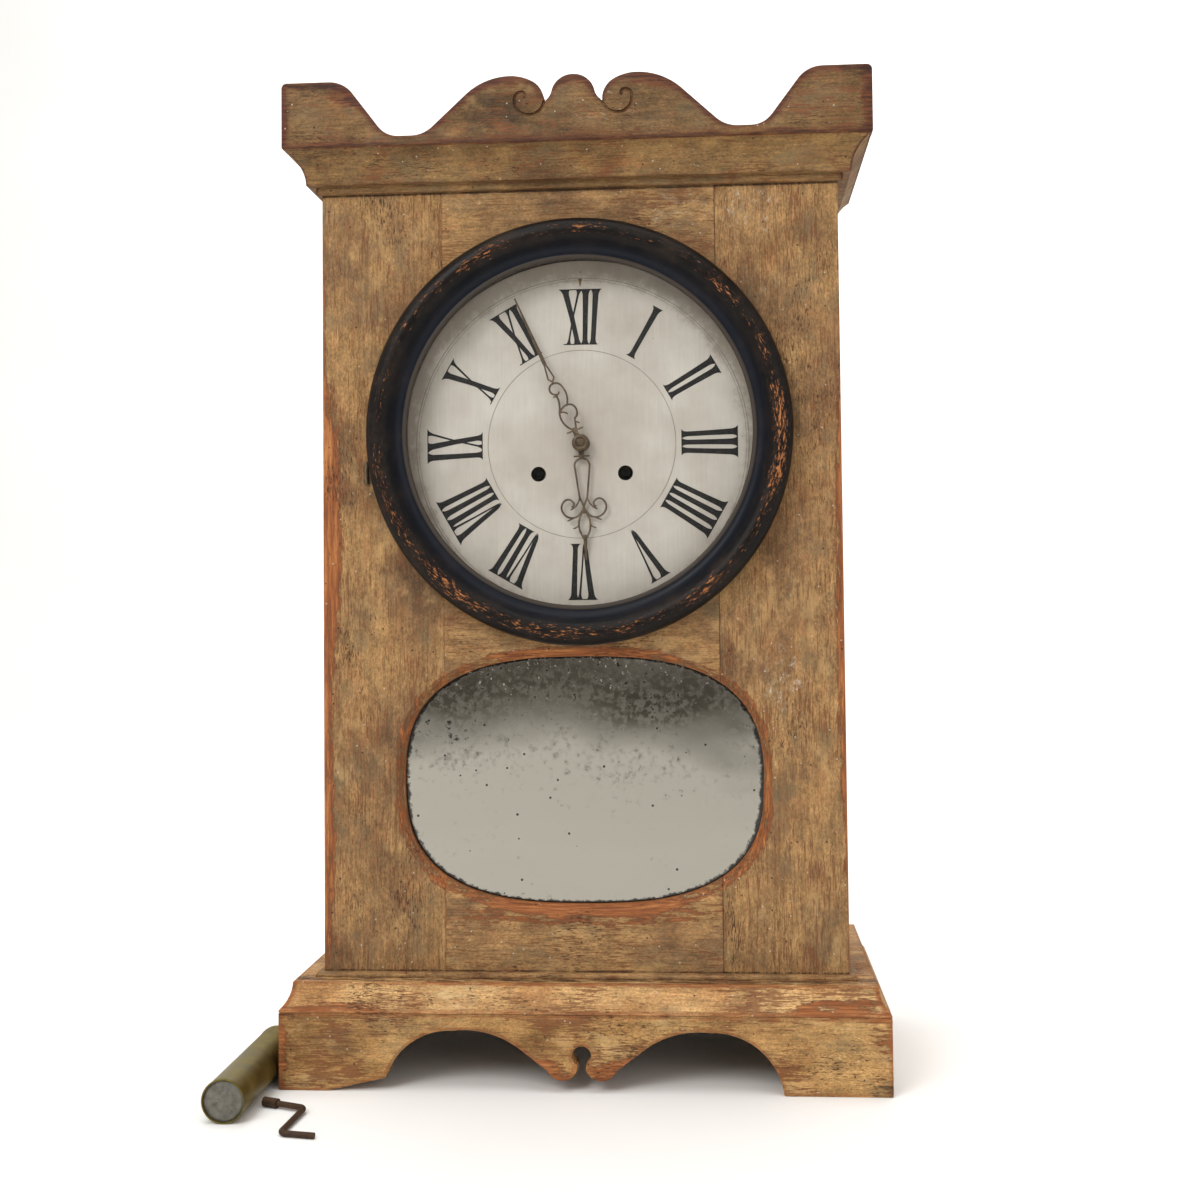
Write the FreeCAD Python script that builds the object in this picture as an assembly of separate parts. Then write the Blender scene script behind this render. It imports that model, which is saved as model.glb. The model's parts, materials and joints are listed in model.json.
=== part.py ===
import FreeCAD, Part
import math
import os

# A painted pine clock case: a joined front frame with a glazed round door over the dial and an oval
# looking glass below, on a moulded plinth, with its weight-driven movement inside.
# Millimetres. Z up, X to the right, the front faces -Y. The origin is on the floor, in the middle of
# the plinth's footprint.

# Case
case_width = 510.0
case_depth = 240.0
frame_height = 765.5
frame_thick = 22.0
stile_width = 120.0
side_thick = 20.0
back_thick = 12.0
top_thick = 18.0
bottom_thick = 18.0
tenon_length = 30.0
tenon_thick = 8.0
tenon_shoulder = 14.0
rail_shoulder_height = 110.0
rail_top_extra = 30.0
rail_mirror_lap = 40.0
rail_dial_lap = 100.0

# Plinth, base moulding and the strip that the case stands on
plinth_height = 73.0
plinth_thick = 22.0
plinth_overhang = 36.0
plinth_back_lift = 20.0
foot_width = 101.0
arch_height = 57.5
arch_peak = 122.0
apron_slope_top = 60.0
apron_slope_foot = 33.0
pendant_drop = 11.8
pendant_lobe = 16.5
keyhole_radius = 9.0
keyhole_height = 35.0
keyhole_neck = 4.0
wear_start = 47.0
wear_slope = 0.22
moulding_height = 27.0
moulding_nose = 2.0
moulding_top_overhang = 25.0
moulding_inset = 30.0
strip_height = 4.5
strip_overhang = 7.0
block_side = 30.0

# Cornice and crest
fillet_height = 7.0
fillet_overhang = 5.0
cove_height = 32.5
cove_foot_overhang = 13.0
cornice_overhang = 32.0
cornice_inset = 24.0
crest_height = 64.0
crest_thick = 20.0
crest_corner = 5.0
ear_width = 47.0
ear_shoulder = 23.6
ear_slope = 48.9
valley_turn = 19.8
valley_height = 8.8
scroll_foot = 137.7
scroll_turn = 21.0
scroll_shoulder = 103.0
scroll_peak = 62.0
scroll_bend = 38.4
scroll_cusp = 28.2
scroll_cusp_height = 38.0
hump_waist = 21.2
volute_groove = 3.0
volute_depth = 2.5
crest_block_height = 36.0
crest_block_width = 40.0
crest_block_depth = 18.0

# Oval looking glass
mirror_above_foot = 64.0
mirror_half_width = 176.0
mirror_power = 2.7
mirror_points = 32
mirror_chamfer = 7.0
mirror_lap = 8.0
mirror_thick = 3.5
mirror_recess = 13.0
mirror_back_thick = 5.5

# Round glazed door
bezel_below_top = 32.5
bezel_above_mirror = 11.0
bezel_radius = 208.5
bezel_width = 39.0
bezel_round = 12.5
bezel_rise = 13.0
bezel_lip = 3.0
opening_margin = 7.5
door_gap = 0.4
glass_lap = 4.5
glass_thick = 2.5
glass_clearance = 0.3
glazing_height = 3.5
glazing_width = 4.0
hinge_drop = 37.0
hinge_clear = 2.5
knuckle_radius = 2.2
knuckle_length = 7.0
knuckle_gap = 0.3
hinge_pin_radius = 1.2
leaf_width = 20.0
leaf_thick = 1.0
catch_width = 12.0
catch_depth = 8.0
catch_thick = 3.5

# Dial and hands
dial_drop = 9.0
dial_recess = 26.0
dial_lap = 7.0
dial_thick = 1.5
winding_hole_radius = 7.5
winding_spread = 43.5
winding_drop = 29.5
dial_foot_radius = 3.5
hand_thick = 1.2
hand_bar = 1.9
hour_hand_angle = 178.0
minute_hand_angle = -24.0
hour_hand_short = 53.5
minute_hand_short = 10.5
hand_stack = 6.0
hand_hub_radius = 8.7
nut_thick = 3.0

# Movement
plate_gap = 62.0
plate_thick = 3.0
plate_half_width = 95.0
plate_above = 116.0
plate_below = 84.0
motion_room = 16.5
pillar_radius = 5.0
pillar_inset = 10.0
pivot_radius = 2.0
pivot_clearance = 0.05
wheel_thick = 2.0
barrel_radius = 19.0
barrel_length = 40.0
barrel_arbor_radius = 4.0
winding_square = 6.0
great_teeth = 96
pinion_teeth = 8
centre_teeth = 64
centre_module = 0.9
third_teeth = 60
third_module = 0.8
third_bearing = 50.0
motion_teeth = 36
motion_module = 0.8
hour_teeth = 96
escape_radius = 19.0
escape_teeth = 30
pallet_size = 3.0
pallet_clear = 2.3
crutch_length = 90.0
crutch_width = 4.0
crutch_thick = 2.5
crutch_clear = 3.5
anchor_rise = 60.0
centre_arbor_radius = 2.5
cannon_radius = 4.5
hour_pipe_radius = 6.5
tooth_tip_share = 0.20
tooth_foot_share = 0.56
tooth_height = 0.75
tooth_root = 1.15
minute_stud_radius = 1.0
great_wheel_room = 5.0
strike_wheel_room = 6.0
centre_wheel_room = 6.0
third_wheel_room = 14.0
escape_wheel_room = 11.0
motion_wheel_room = 4.0
hour_wheel_room = 5.0

# Pendulum, strike, lines and weights
pendulum_length = 455.0
pendulum_setback = 14.0
rod_width = 6.0
rod_thick = 2.5
bob_radius = 45.0
bob_thick = 16.0
bell_radius = 45.0
bell_height = 30.0
bell_thick = 2.5
bell_lift = 19.0
bell_post_radius = 3.0
hammer_side = 52.0
hammer_arm = 60.0
hammer_above_rim = 5.0
hammer_head_radius = 6.0
hammer_head_length = 16.0
hammer_gap = 3.6
seat_thick = 18.0
seat_front_room = 6.0
seat_back_room = 8.0
seat_slot = 7.0
seat_rim = 12.0
cheek_thick = 18.0
cheek_height = 120.0
cheek_depth = 100.0
line_radius = 1.2
line_clearance = 0.4
weight_radius = 20.0
weight_length = 170.0
weight_neck_radius = 4.0
weight_neck_length = 14.0
weight_hang = 34.0
loose_weight_gap = 2.5
loose_weight_front = 94.0
crank_rod_radius = 2.75
crank_beside = -0.5
crank_before = 45.0
crank_shank = (42.0, -15.0)
crank_throw = (-5.0, -61.0)
crank_handle = (32.0, -5.0)
crank_socket_radius = 4.4
crank_socket_length = 15.0
crank_bend_radius = 7.0
screw_radius = 2.2
screw_head_radius = 4.2
screw_head_height = 2.0
screw_length = 34.0
screw_spread = 150.0

# Planes and levels that the pieces share
half = case_width / 2
plinth_half = half + plinth_overhang
footprint_depth = case_depth + plinth_overhang
plinth_front_y = -footprint_depth / 2
front_y = plinth_front_y + plinth_overhang
frame_back_y = front_y + frame_thick
back_y = front_y + case_depth
back_inner_y = back_y - back_thick
inner_half = half - side_thick
seam_half = half - stile_width
moulding_top = plinth_height + moulding_height
case_foot = moulding_top + strip_height
case_top = case_foot + frame_height
cove_foot_z = case_top + fillet_height
crest_foot = cove_foot_z + cove_height
crest_half = half + cornice_overhang
bezel_z = case_top - bezel_below_top - bezel_radius
mirror_top = bezel_z - bezel_radius - bezel_above_mirror
mirror_half_height = (mirror_top - case_foot - mirror_above_foot) / 2
mirror_z = mirror_top - mirror_half_height
sight_radius = bezel_radius - bezel_width
opening_radius = sight_radius + opening_margin
glass_radius = sight_radius + glass_lap
dial_radius = opening_radius + dial_lap
hour_hand_length = sight_radius - hour_hand_short
minute_hand_length = sight_radius - minute_hand_short
dial_z = bezel_z - dial_drop
dial_front_y = front_y + dial_recess
dial_back_y = dial_front_y + dial_thick
plate_front_y = dial_back_y + motion_room
train_front_y = plate_front_y + plate_thick
train_back_y = train_front_y + plate_gap
plate_back_y = train_back_y + plate_thick
plate_foot_z = dial_z - plate_below
plate_top_z = dial_z + plate_above
seat_foot_z = plate_foot_z - seat_thick
winding_z = dial_z - winding_drop
anchor_z = dial_z + anchor_rise
pendulum_y = plate_back_y + pendulum_setback
great_y = train_front_y + great_wheel_room
bell_rim_z = plate_top_z + bell_lift
hammer_z = bell_rim_z + hammer_above_rim - hammer_arm

os.makedirs("parts", exist_ok=True)


def save(name, shape):
    shape.exportStep("parts/" + name + ".step")


def vec(x, y, z):
    return FreeCAD.Vector(x, y, z)


def block(x0, x1, y0, y1, z0, z1):
    return Part.makeBox(x1 - x0, y1 - y0, z1 - z0, vec(x0, y0, z0))


def rod_y(radius, x, z, y0, y1):
    return Part.makeCylinder(radius, y1 - y0, vec(x, y0, z), vec(0, 1, 0))


def rod_z(radius, x, y, z0, z1):
    return Part.makeCylinder(radius, z1 - z0, vec(x, y, z0), vec(0, 0, 1))


# A path is a list of points. A pair of points in a list is an arc: a point on the way and its end.
def path_edges(path, place):
    edges = []
    here = path[0]
    for step in path[1:]:
        if isinstance(step, list):
            via, end = step
            edges.append(Part.Arc(place(*here), place(*via), place(*end)).toShape())
        else:
            end = step
            edges.append(Part.LineSegment(place(*here), place(*end)).toShape())
        here = end
    return edges


def mirrored(half_path):
    # The left half of a symmetrical outline, walked back from the middle to the far end.
    back = []
    stops = [half_path[0]]
    for step in half_path[1:]:
        stops.append(step[1] if isinstance(step, list) else step)
    for index in range(len(half_path) - 1, 0, -1):
        step = half_path[index]
        end = (-stops[index - 1][0], stops[index - 1][1])
        if isinstance(step, list):
            back.append([(-step[0][0], step[0][1]), end])
        else:
            back.append(end)
    return back


def board_xz(path, y0, y1):
    edges = path_edges(path, lambda x, z: vec(x, y0, z))
    face = Part.Face(Part.Wire(edges))
    return face.extrude(vec(0, y1 - y0, 0))


def hollow_via(o0, z0, o1, z1):
    # A point on the hollow arc that leaves (o0, z0) upright and ends at (o1, z1).
    run = o1 - o0
    rise = z1 - z0
    radius = (run * run + rise * rise) / (2 * run)
    turn = math.asin(min(1.0, abs(rise) / radius)) / 2
    return o0 + radius * (1 - math.cos(turn)), z0 + math.copysign(radius * math.sin(turn), rise)


# One mitred length of moulding: the profile is drawn as overhang and height.
def moulding(profile, side, inset, overhang):
    reach = overhang + 1
    if side == "front":
        edges = path_edges(profile, lambda o, z: vec(-half - reach, front_y - o, z))
        length = Part.Face(Part.Wire(edges)).extrude(vec(2 * (half + reach), 0, 0))
        corners = [
            vec(-half - reach, front_y - reach, 0),
            vec(half + reach, front_y - reach, 0),
            vec(half - inset, front_y + inset, 0),
            vec(-half + inset, front_y + inset, 0),
        ]
    else:
        hand = 1 if side == "right" else -1
        edges = path_edges(profile, lambda o, z: vec(hand * (half + o), front_y - reach, z))
        length = Part.Face(Part.Wire(edges)).extrude(vec(0, back_y - front_y + reach, 0))
        corners = [
            vec(hand * (half + reach), front_y - reach, 0),
            vec(hand * (half - inset), front_y + inset, 0),
            vec(hand * (half - inset), back_y, 0),
            vec(hand * (half + reach), back_y, 0),
        ]
    room = Part.Face(Part.makePolygon(corners + [corners[0]])).extrude(vec(0, 0, 2 * case_top))
    return length.common(room)


def oval_wire(margin, y):
    a = mirror_half_width + margin
    b = mirror_half_height + margin
    points = []
    for index in range(mirror_points):
        turn = 2 * math.pi * index / mirror_points
        c = math.cos(turn)
        s = math.sin(turn)
        x = a * math.copysign(abs(c) ** (2 / mirror_power), c)
        z = b * math.copysign(abs(s) ** (2 / mirror_power), s)
        points.append(vec(x, y, mirror_z + z))
    curve = Part.BSplineCurve()
    curve.interpolate(Points=points, PeriodicFlag=True)
    return Part.Wire([curve.toShape()])


def oval_plate(margin, y0, y1):
    return Part.Face(oval_wire(margin, y0)).extrude(vec(0, y1 - y0, 0))


def turned(profile, z):
    # A ring turned about the axis through the middle of the door: radius and height off the frame.
    edges = path_edges(profile, lambda r, h: vec(0, front_y - h, z + r))
    face = Part.Face(Part.Wire(edges))
    return face.revolve(vec(0, front_y, z), vec(0, 1, 0), 360)


# A toothed wheel about an axis along Y. The first tooth points along turn, clockwise from upright.
def wheel(teeth, module, x, z, y0, y1, turn, bore=0.0):
    pitch = module * teeth / 2
    tip = pitch + tooth_height * module
    root = pitch - tooth_root * module
    step = 2 * math.pi / teeth
    points = []
    for index in range(teeth):
        middle = math.radians(turn) + index * step
        foot = step * tooth_foot_share / 2
        crown = step * tooth_tip_share / 2
        flank = ((root, -foot), (tip, -crown), (tip, crown), (root, foot))
        for radius, lead in flank:
            angle = middle + lead
            points.append(vec(x + radius * math.sin(angle), y0, z + radius * math.cos(angle)))
    body = Part.Face(Part.makePolygon(points + [points[0]])).extrude(vec(0, y1 - y0, 0))
    if bore:
        body = body.cut(rod_y(bore, x, z, y0, y1))
    return body


def bearing(x0, z0, x1, z1):
    # Angle of the line from one arbor to another, clockwise from upright.
    return math.degrees(math.atan2(x1 - x0, z1 - z0))


# A flat bar of even width that follows a path in the XZ plane, from y = 0 back, with round ends.
def bar(path, width, thick):
    solids = [rod_y(width / 2, path[0][0], path[0][1], 0, thick)]
    here = vec(path[0][0], 0, path[0][1])
    for step in path[1:]:
        if isinstance(step, list):
            via = vec(step[0][0], 0, step[0][1])
            end = vec(step[1][0], 0, step[1][1])
            circle = Part.Arc(here, via, end).toShape().Curve
            edges = []
            rims = []
            for radius in (circle.Radius + width / 2, circle.Radius - width / 2):
                share = radius / circle.Radius
                rims.append([circle.Center + (p - circle.Center) * share for p in (here, via, end)])
            edges.append(Part.Arc(*rims[0]).toShape())
            edges.append(Part.LineSegment(rims[0][2], rims[1][2]).toShape())
            edges.append(Part.Arc(rims[1][2], rims[1][1], rims[1][0]).toShape())
            edges.append(Part.LineSegment(rims[1][0], rims[0][0]).toShape())
        else:
            end = vec(step[0], 0, step[1])
            across = (end - here).normalize().cross(vec(0, 1, 0)) * (width / 2)
            corners = [here + across, end + across, end - across, here - across]
            edges = Part.makePolygon(corners + [corners[0]]).Edges
        solids.append(Part.Face(Part.Wire(edges)).extrude(vec(0, thick, 0)))
        solids.append(rod_y(width / 2, end.x, end.z, 0, thick))
        here = end
    return solids


# A path drawn at one size, made larger or smaller about the origin.
def sized(path, k):
    grown = []
    for step in path:
        if isinstance(step, list):
            grown.append([(x * k, z * k) for x, z in step])
        else:
            grown.append((step[0] * k, step[1] * k))
    return grown


def fused(solids):
    first = solids[0]
    return first.multiFuse(solids[1:]).removeSplitter() if len(solids) > 1 else first


def flipped(shape):
    return shape.mirror(vec(0, 0, 0), vec(1, 0, 0))


# Openings through the front frame
def frame_openings():
    dial_opening = rod_y(opening_radius, 0, bezel_z, front_y - 1, frame_back_y + 1)
    sight = oval_plate(0, front_y - 1, frame_back_y + 1)
    mouth = oval_wire(mirror_chamfer, front_y)
    throat = oval_wire(0, front_y + mirror_chamfer)
    chamfer = Part.makeLoft([mouth, throat], True)
    rebate = oval_plate(mirror_lap, front_y + mirror_recess, frame_back_y + 1)
    return [dial_opening, sight, chamfer, rebate]


# Front frame: two full-height stiles and three rails tenoned between them.
def make_front_frame():
    openings = frame_openings()
    rails = {
        "rail_bottom": (case_foot, case_foot + rail_shoulder_height),
        "rail_middle": (mirror_z + mirror_half_height - rail_mirror_lap,
                        bezel_z - opening_radius + rail_dial_lap),
        "rail_top": (case_top - rail_shoulder_height - rail_top_extra, case_top),
    }
    tenon_y = front_y + (frame_thick - tenon_thick) / 2
    tenons = []
    for name, (low, high) in rails.items():
        rail = block(-seam_half, seam_half, front_y, frame_back_y, low, high)
        for hand in (-1, 1):
            x0 = min(hand * seam_half, hand * (seam_half + tenon_length))
            tenon = block(x0, x0 + tenon_length, tenon_y, tenon_y + tenon_thick,
                          low + tenon_shoulder, high - tenon_shoulder)
            tenons.append(tenon)
            rail = rail.fuse(tenon)
        save(name, rail.removeSplitter().cut(openings))
    leaf_z = bezel_z - hinge_drop
    leaf_seat = block(hinge_x() - knuckle_radius, hinge_x() + leaf_width, front_y, front_y + leaf_thick,
                      leaf_z - hinge_half(), leaf_z + hinge_half())
    for hand, name in ((-1, "stile_left"), (1, "stile_right")):
        x0 = min(hand * half, hand * seam_half)
        stile = block(x0, x0 + stile_width, front_y, frame_back_y, case_foot, case_top)
        stile = stile.cut(tenons + openings)
        if hand < 0:
            stile = stile.cut(leaf_seat)
        save(name, stile)


def make_carcase():
    screws = []
    for z in (case_foot + bottom_thick / 2, case_top - top_thick / 2):
        for x in (-screw_spread, screw_spread):
            shank = rod_y(screw_radius, x, z, back_y - screw_length, back_y)
            head = rod_y(screw_head_radius, x, z, back_y - screw_head_height, back_y)
            screws.append(shank.fuse(head).removeSplitter())
    for hand, name in ((-1, "side_left"), (1, "side_right")):
        x0 = min(hand * half, hand * inner_half)
        save(name, block(x0, x0 + side_thick, frame_back_y, back_y, case_foot, case_top))
    top = block(-inner_half, inner_half, frame_back_y, back_inner_y, case_top - top_thick, case_top)
    save("top_board", top.cut(screws))
    bottom = block(-inner_half, inner_half, frame_back_y, back_inner_y, case_foot, case_foot + bottom_thick)
    save("bottom_board", bottom.cut(screws))
    back = block(-inner_half, inner_half, back_inner_y, back_y, case_foot, case_top)
    save("back_board", back.cut(screws))
    save("back_screws", Part.makeCompound(screws))


def make_plinth():
    foot_inner = plinth_half - foot_width
    slope_x = (arch_peak + apron_slope_top) / 2
    apron = [
        (foot_inner, -1.0),
        (foot_inner, 0.0),
        [(foot_inner - 14.0, arch_height * 0.58), (arch_peak, arch_height)],
        [(slope_x - 3.0, arch_height - 2.5), (apron_slope_top, arch_height - 16.0)],
        (apron_slope_foot, pendant_drop + 9.2),
        [(pendant_lobe, pendant_drop), (keyhole_neck, pendant_drop + 9.7)],
    ]
    outline = apron + [(-keyhole_neck, pendant_drop + 9.7)] + mirrored(apron) + [(foot_inner, -1.0)]
    y0 = plinth_front_y
    y1 = plinth_front_y + plinth_thick
    front = block(-plinth_half, plinth_half, y0, y1, 0, plinth_height)
    neck = block(-keyhole_neck, keyhole_neck, y0, y1, pendant_drop, keyhole_height)
    wear_x = -plinth_half + wear_start
    wear_end = -foot_inner + 20.0
    wear_z = wear_slope * (wear_end - wear_x)
    wear = board_xz([(wear_x, 0), (wear_end, 0), (wear_end, wear_z), (wear_x, 0)], y0, y1)
    front = front.cut([
        board_xz(outline, y0, y1),
        rod_y(keyhole_radius, 0, keyhole_height, y0, y1),
        neck,
        wear,
    ])
    save("plinth_front", front)
    for hand, name in ((-1, "plinth_left"), (1, "plinth_right")):
        x0 = min(hand * plinth_half, hand * (plinth_half - plinth_thick))
        save(name, block(x0, x0 + plinth_thick, y1, back_y, 0, plinth_height))
    x1 = plinth_half - plinth_thick
    x2 = half - moulding_inset
    rail = block(-x1, x1, back_y - plinth_thick, back_y, plinth_back_lift, plinth_height)
    riser = block(-x2, x2, back_y - plinth_thick, back_y, plinth_height, case_foot)
    save("plinth_back", rail.fuse(riser).removeSplitter())

    top_z = moulding_top
    nose_z = plinth_height + moulding_nose
    profile = [
        (-moulding_inset, plinth_height),
        (plinth_overhang, plinth_height),
        (plinth_overhang, nose_z),
        [hollow_via(moulding_top_overhang, top_z, plinth_overhang, nose_z), (moulding_top_overhang, top_z)],
        (-moulding_inset, top_z),
        (-moulding_inset, plinth_height),
    ]
    for side in ("front", "left", "right"):
        save("base_moulding_" + side, moulding(profile, side, moulding_inset, plinth_overhang))
    strip = [
        (-moulding_inset, top_z),
        (strip_overhang, top_z),
        [(strip_overhang - 0.6, top_z + strip_height * 0.7), (strip_overhang - 3.0, case_foot)],
        (-moulding_inset, case_foot),
        (-moulding_inset, top_z),
    ]
    strips = [moulding(strip, side, moulding_inset, strip_overhang) for side in ("front", "left", "right")]
    save("base_strip", Part.makeCompound(strips))


def make_cornice():
    hollow = hollow_via(cove_foot_overhang, cove_foot_z, cornice_overhang, crest_foot)
    profile = [
        (-cornice_inset, case_top),
        (fillet_overhang, case_top),
        (fillet_overhang, cove_foot_z),
        (cove_foot_overhang, cove_foot_z),
        [hollow, (cornice_overhang, crest_foot)],
        (-cornice_inset, crest_foot),
        (-cornice_inset, case_top),
    ]
    for side in ("front", "left", "right"):
        save("cornice_" + side, moulding(profile, side, cornice_inset, cornice_overhang))


# Crest board: ears at the ends, a hollow, then two scrolls that meet a middle hump.
def make_crest():
    base = crest_foot
    top = base + crest_height
    ear_top = crest_half - ear_width
    ear_foot = ear_top - ear_slope
    valley_z = base + valley_height
    valley_out = ear_foot - valley_turn
    valley_in = scroll_foot + scroll_turn
    cusp_z = base + scroll_cusp_height

    def share(part):
        return base + crest_height * part

    ear_drop = share(0.292) - valley_z
    scroll_rise = share(0.266) - valley_z
    right = [
        (crest_half, base),
        (crest_half, top - crest_corner),
        [(crest_half - crest_corner * 0.3, top - crest_corner * 0.3), (crest_half - crest_corner, top)],
        (ear_top, top),
        [(ear_top - ear_shoulder * 0.558, share(0.952)), (ear_top - ear_shoulder, share(0.816))],
        (ear_foot, share(0.292)),
        [(ear_foot - valley_turn * 0.441, valley_z + ear_drop * 0.263), (valley_out, valley_z)],
        (valley_in, valley_z),
        [(valley_in - scroll_turn * 0.537, valley_z + scroll_rise * 0.26), (scroll_foot, share(0.266))],
        (scroll_shoulder, share(0.764)),
        [((scroll_shoulder + scroll_peak) / 2 + 1.5, share(0.937)), (scroll_peak, top)],
        [((scroll_peak + scroll_bend) / 2 - 0.3, share(0.976)), (scroll_bend, share(0.900))],
        [(scroll_cusp + 3.0, share(0.780)), (scroll_cusp, cusp_z)],
        [(hump_waist + 2.2, cusp_z + 4.2), (hump_waist, share(0.731))],
        [(hump_waist * 0.72, share(0.906)), (0.0, top)],
    ]
    y0 = front_y - cornice_overhang
    y1 = y0 + crest_thick
    board = board_xz(right + mirrored(right) + [(crest_half, base)], y0, y1)
    volute = [
        (scroll_cusp, cusp_z),
        [(scroll_cusp + 5.0, cusp_z - 9.0), (scroll_cusp + 15.0, cusp_z - 12.5)],
        [(scroll_cusp + 25.0, cusp_z - 8.5), (scroll_cusp + 28.7, cusp_z + 1.5)],
        [(scroll_cusp + 27.2, cusp_z + 7.6), (scroll_cusp + 22.8, cusp_z + 9.8)],
        [(scroll_cusp + 19.2, cusp_z + 8.4), (scroll_cusp + 18.8, cusp_z + 5.0)],
    ]
    groove = fused(bar(volute, volute_groove, volute_depth))
    groove.translate(vec(0, y0, 0))
    board = board.cut([groove, flipped(groove)])
    save("crest_board", board)

    blocks = []
    for x in (-(ear_top + crest_half) / 2, 0.0, (ear_top + crest_half) / 2):
        blocks.append(block(x - crest_block_width / 2, x + crest_block_width / 2,
                            y1, y1 + crest_block_depth, base, base + crest_block_height))
    x1 = plinth_half - plinth_thick
    y_front = plinth_front_y + plinth_thick
    y_back = back_y - plinth_thick
    for hand in (-1, 1):
        x0 = min(hand * x1, hand * (x1 - block_side))
        for y in (y_front, y_back - block_side):
            blocks.append(block(x0, x0 + block_side, y, y + block_side, plinth_back_lift, plinth_height))
    save("glue_blocks", Part.makeCompound(blocks))


def make_mirror():
    y0 = front_y + mirror_recess
    margin = mirror_lap - glass_clearance
    save("mirror_plate", oval_plate(margin, y0, y0 + mirror_thick))
    save("mirror_backboard", oval_plate(margin, y0 + mirror_thick, y0 + mirror_thick + mirror_back_thick))


def hinge_x():
    return -bezel_radius - hinge_clear


def hinge_half():
    return 1.5 * knuckle_length + knuckle_gap


# Round door: a turned ring with a half-round outside, a hollow and a small lip that holds the glass.
def make_door():
    rebate_radius = glass_radius + glass_clearance
    glass_rise = door_gap + glazing_height + 0.5
    lip_rise = glass_rise + glass_thick
    round_r = bezel_radius - bezel_round
    round_start = math.radians(150.0)
    shoulder_rise = bezel_rise + bezel_round * math.sin(round_start)
    shoulder = (round_r + bezel_round * math.cos(round_start), shoulder_rise)
    lip_end = (rebate_radius + 0.2, lip_rise + bezel_lip)
    hollow = ((lip_end[0] + shoulder[0]) / 2 + 1.0, (lip_end[1] + shoulder[1]) / 2 - 2.0)
    profile = [
        (rebate_radius, door_gap),
        (rebate_radius, lip_rise),
        (sight_radius, lip_rise),
        (sight_radius, lip_rise + bezel_lip * 0.5),
        [((sight_radius + lip_end[0]) / 2 - 0.8, lip_end[1] + 0.6), lip_end],
        [hollow, shoulder],
        [(round_r, bezel_rise + bezel_round), (bezel_radius, bezel_rise)],
        (bezel_radius - 1.0, door_gap),
        (rebate_radius, door_gap),
    ]
    leaf_z = bezel_z - hinge_drop
    pin_y = front_y - knuckle_radius - door_gap
    leaf_y = front_y - door_gap - leaf_thick
    x_pin = hinge_x()
    z0 = leaf_z - hinge_half()
    ring_leaf_seat = block(x_pin, x_pin + leaf_width, leaf_y, front_y,
                           leaf_z - hinge_half(), leaf_z + hinge_half())
    catch_low = bezel_z - catch_width / 2
    catch_high = bezel_z + catch_width / 2
    catch_back_y = front_y - door_gap
    catch_foot = block(rebate_radius, rebate_radius + 3 * catch_thick,
                       catch_back_y - leaf_thick, catch_back_y, catch_low, catch_high)
    tongue = block(rebate_radius, rebate_radius + catch_thick / 2,
                   catch_back_y, catch_back_y + catch_depth, catch_low, catch_high)
    save("bezel_catch", catch_foot.fuse(tongue).removeSplitter())
    save("bezel_ring", turned(profile, bezel_z).cut([ring_leaf_seat, catch_foot]))

    y_glass = front_y - lip_rise
    save("bezel_glass", rod_y(glass_radius, 0, bezel_z, y_glass, y_glass + glass_thick))
    bead = rod_y(glass_radius, 0, bezel_z, y_glass + glass_thick, y_glass + glass_thick + glazing_height)
    bead = bead.cut(rod_y(glass_radius - glazing_width, 0, bezel_z, front_y - lip_rise, front_y))
    save("glazing_ring", bead)

    def knuckle(index):
        low = z0 + index * (knuckle_length + knuckle_gap)
        return rod_z(knuckle_radius, x_pin, pin_y, low, low + knuckle_length), low

    bore = rod_z(hinge_pin_radius + pivot_clearance, x_pin, pin_y, z0 - 1, z0 + 4 * knuckle_length)
    middle, low = knuckle(1)
    strap = block(x_pin, x_pin + leaf_width, leaf_y, leaf_y + leaf_thick, low, low + knuckle_length)
    save("bezel_hinge_strap", strap.fuse(middle).removeSplitter().cut(bore))
    plate = block(x_pin - knuckle_radius, x_pin + leaf_width, front_y, front_y + leaf_thick,
                  z0, leaf_z + hinge_half())
    for index in (0, 2):
        tube, low = knuckle(index)
        web = block(x_pin - knuckle_radius, x_pin, pin_y, front_y, low, low + knuckle_length)
        plate = plate.fuse([tube, web])
    save("case_hinge_leaf", plate.removeSplitter().cut(
        rod_z(hinge_pin_radius, x_pin, pin_y, z0 - 1, z0 + 4 * knuckle_length)))
    save("hinge_pin", rod_z(hinge_pin_radius, x_pin, pin_y, z0, leaf_z + hinge_half()))


def make_dial():
    disc = rod_y(dial_radius, 0, dial_z, dial_front_y, dial_back_y)
    holes = [rod_y(hour_pipe_radius + 1.0, 0, dial_z, dial_front_y, dial_back_y)]
    for hand in (-1, 1):
        x = hand * winding_spread
        holes.append(rod_y(winding_hole_radius, x, winding_z, dial_front_y, dial_back_y))
    disc = disc.cut(holes)
    feet = []
    for x in (-plate_half_width + 2 * pillar_inset, plate_half_width - 2 * pillar_inset):
        for z in (plate_foot_z + 2 * pillar_inset, plate_top_z - 2 * pillar_inset):
            feet.append(rod_y(dial_foot_radius, x, z, dial_back_y, plate_front_y))
    save("dial", disc.fuse(feet).removeSplitter())


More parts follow.
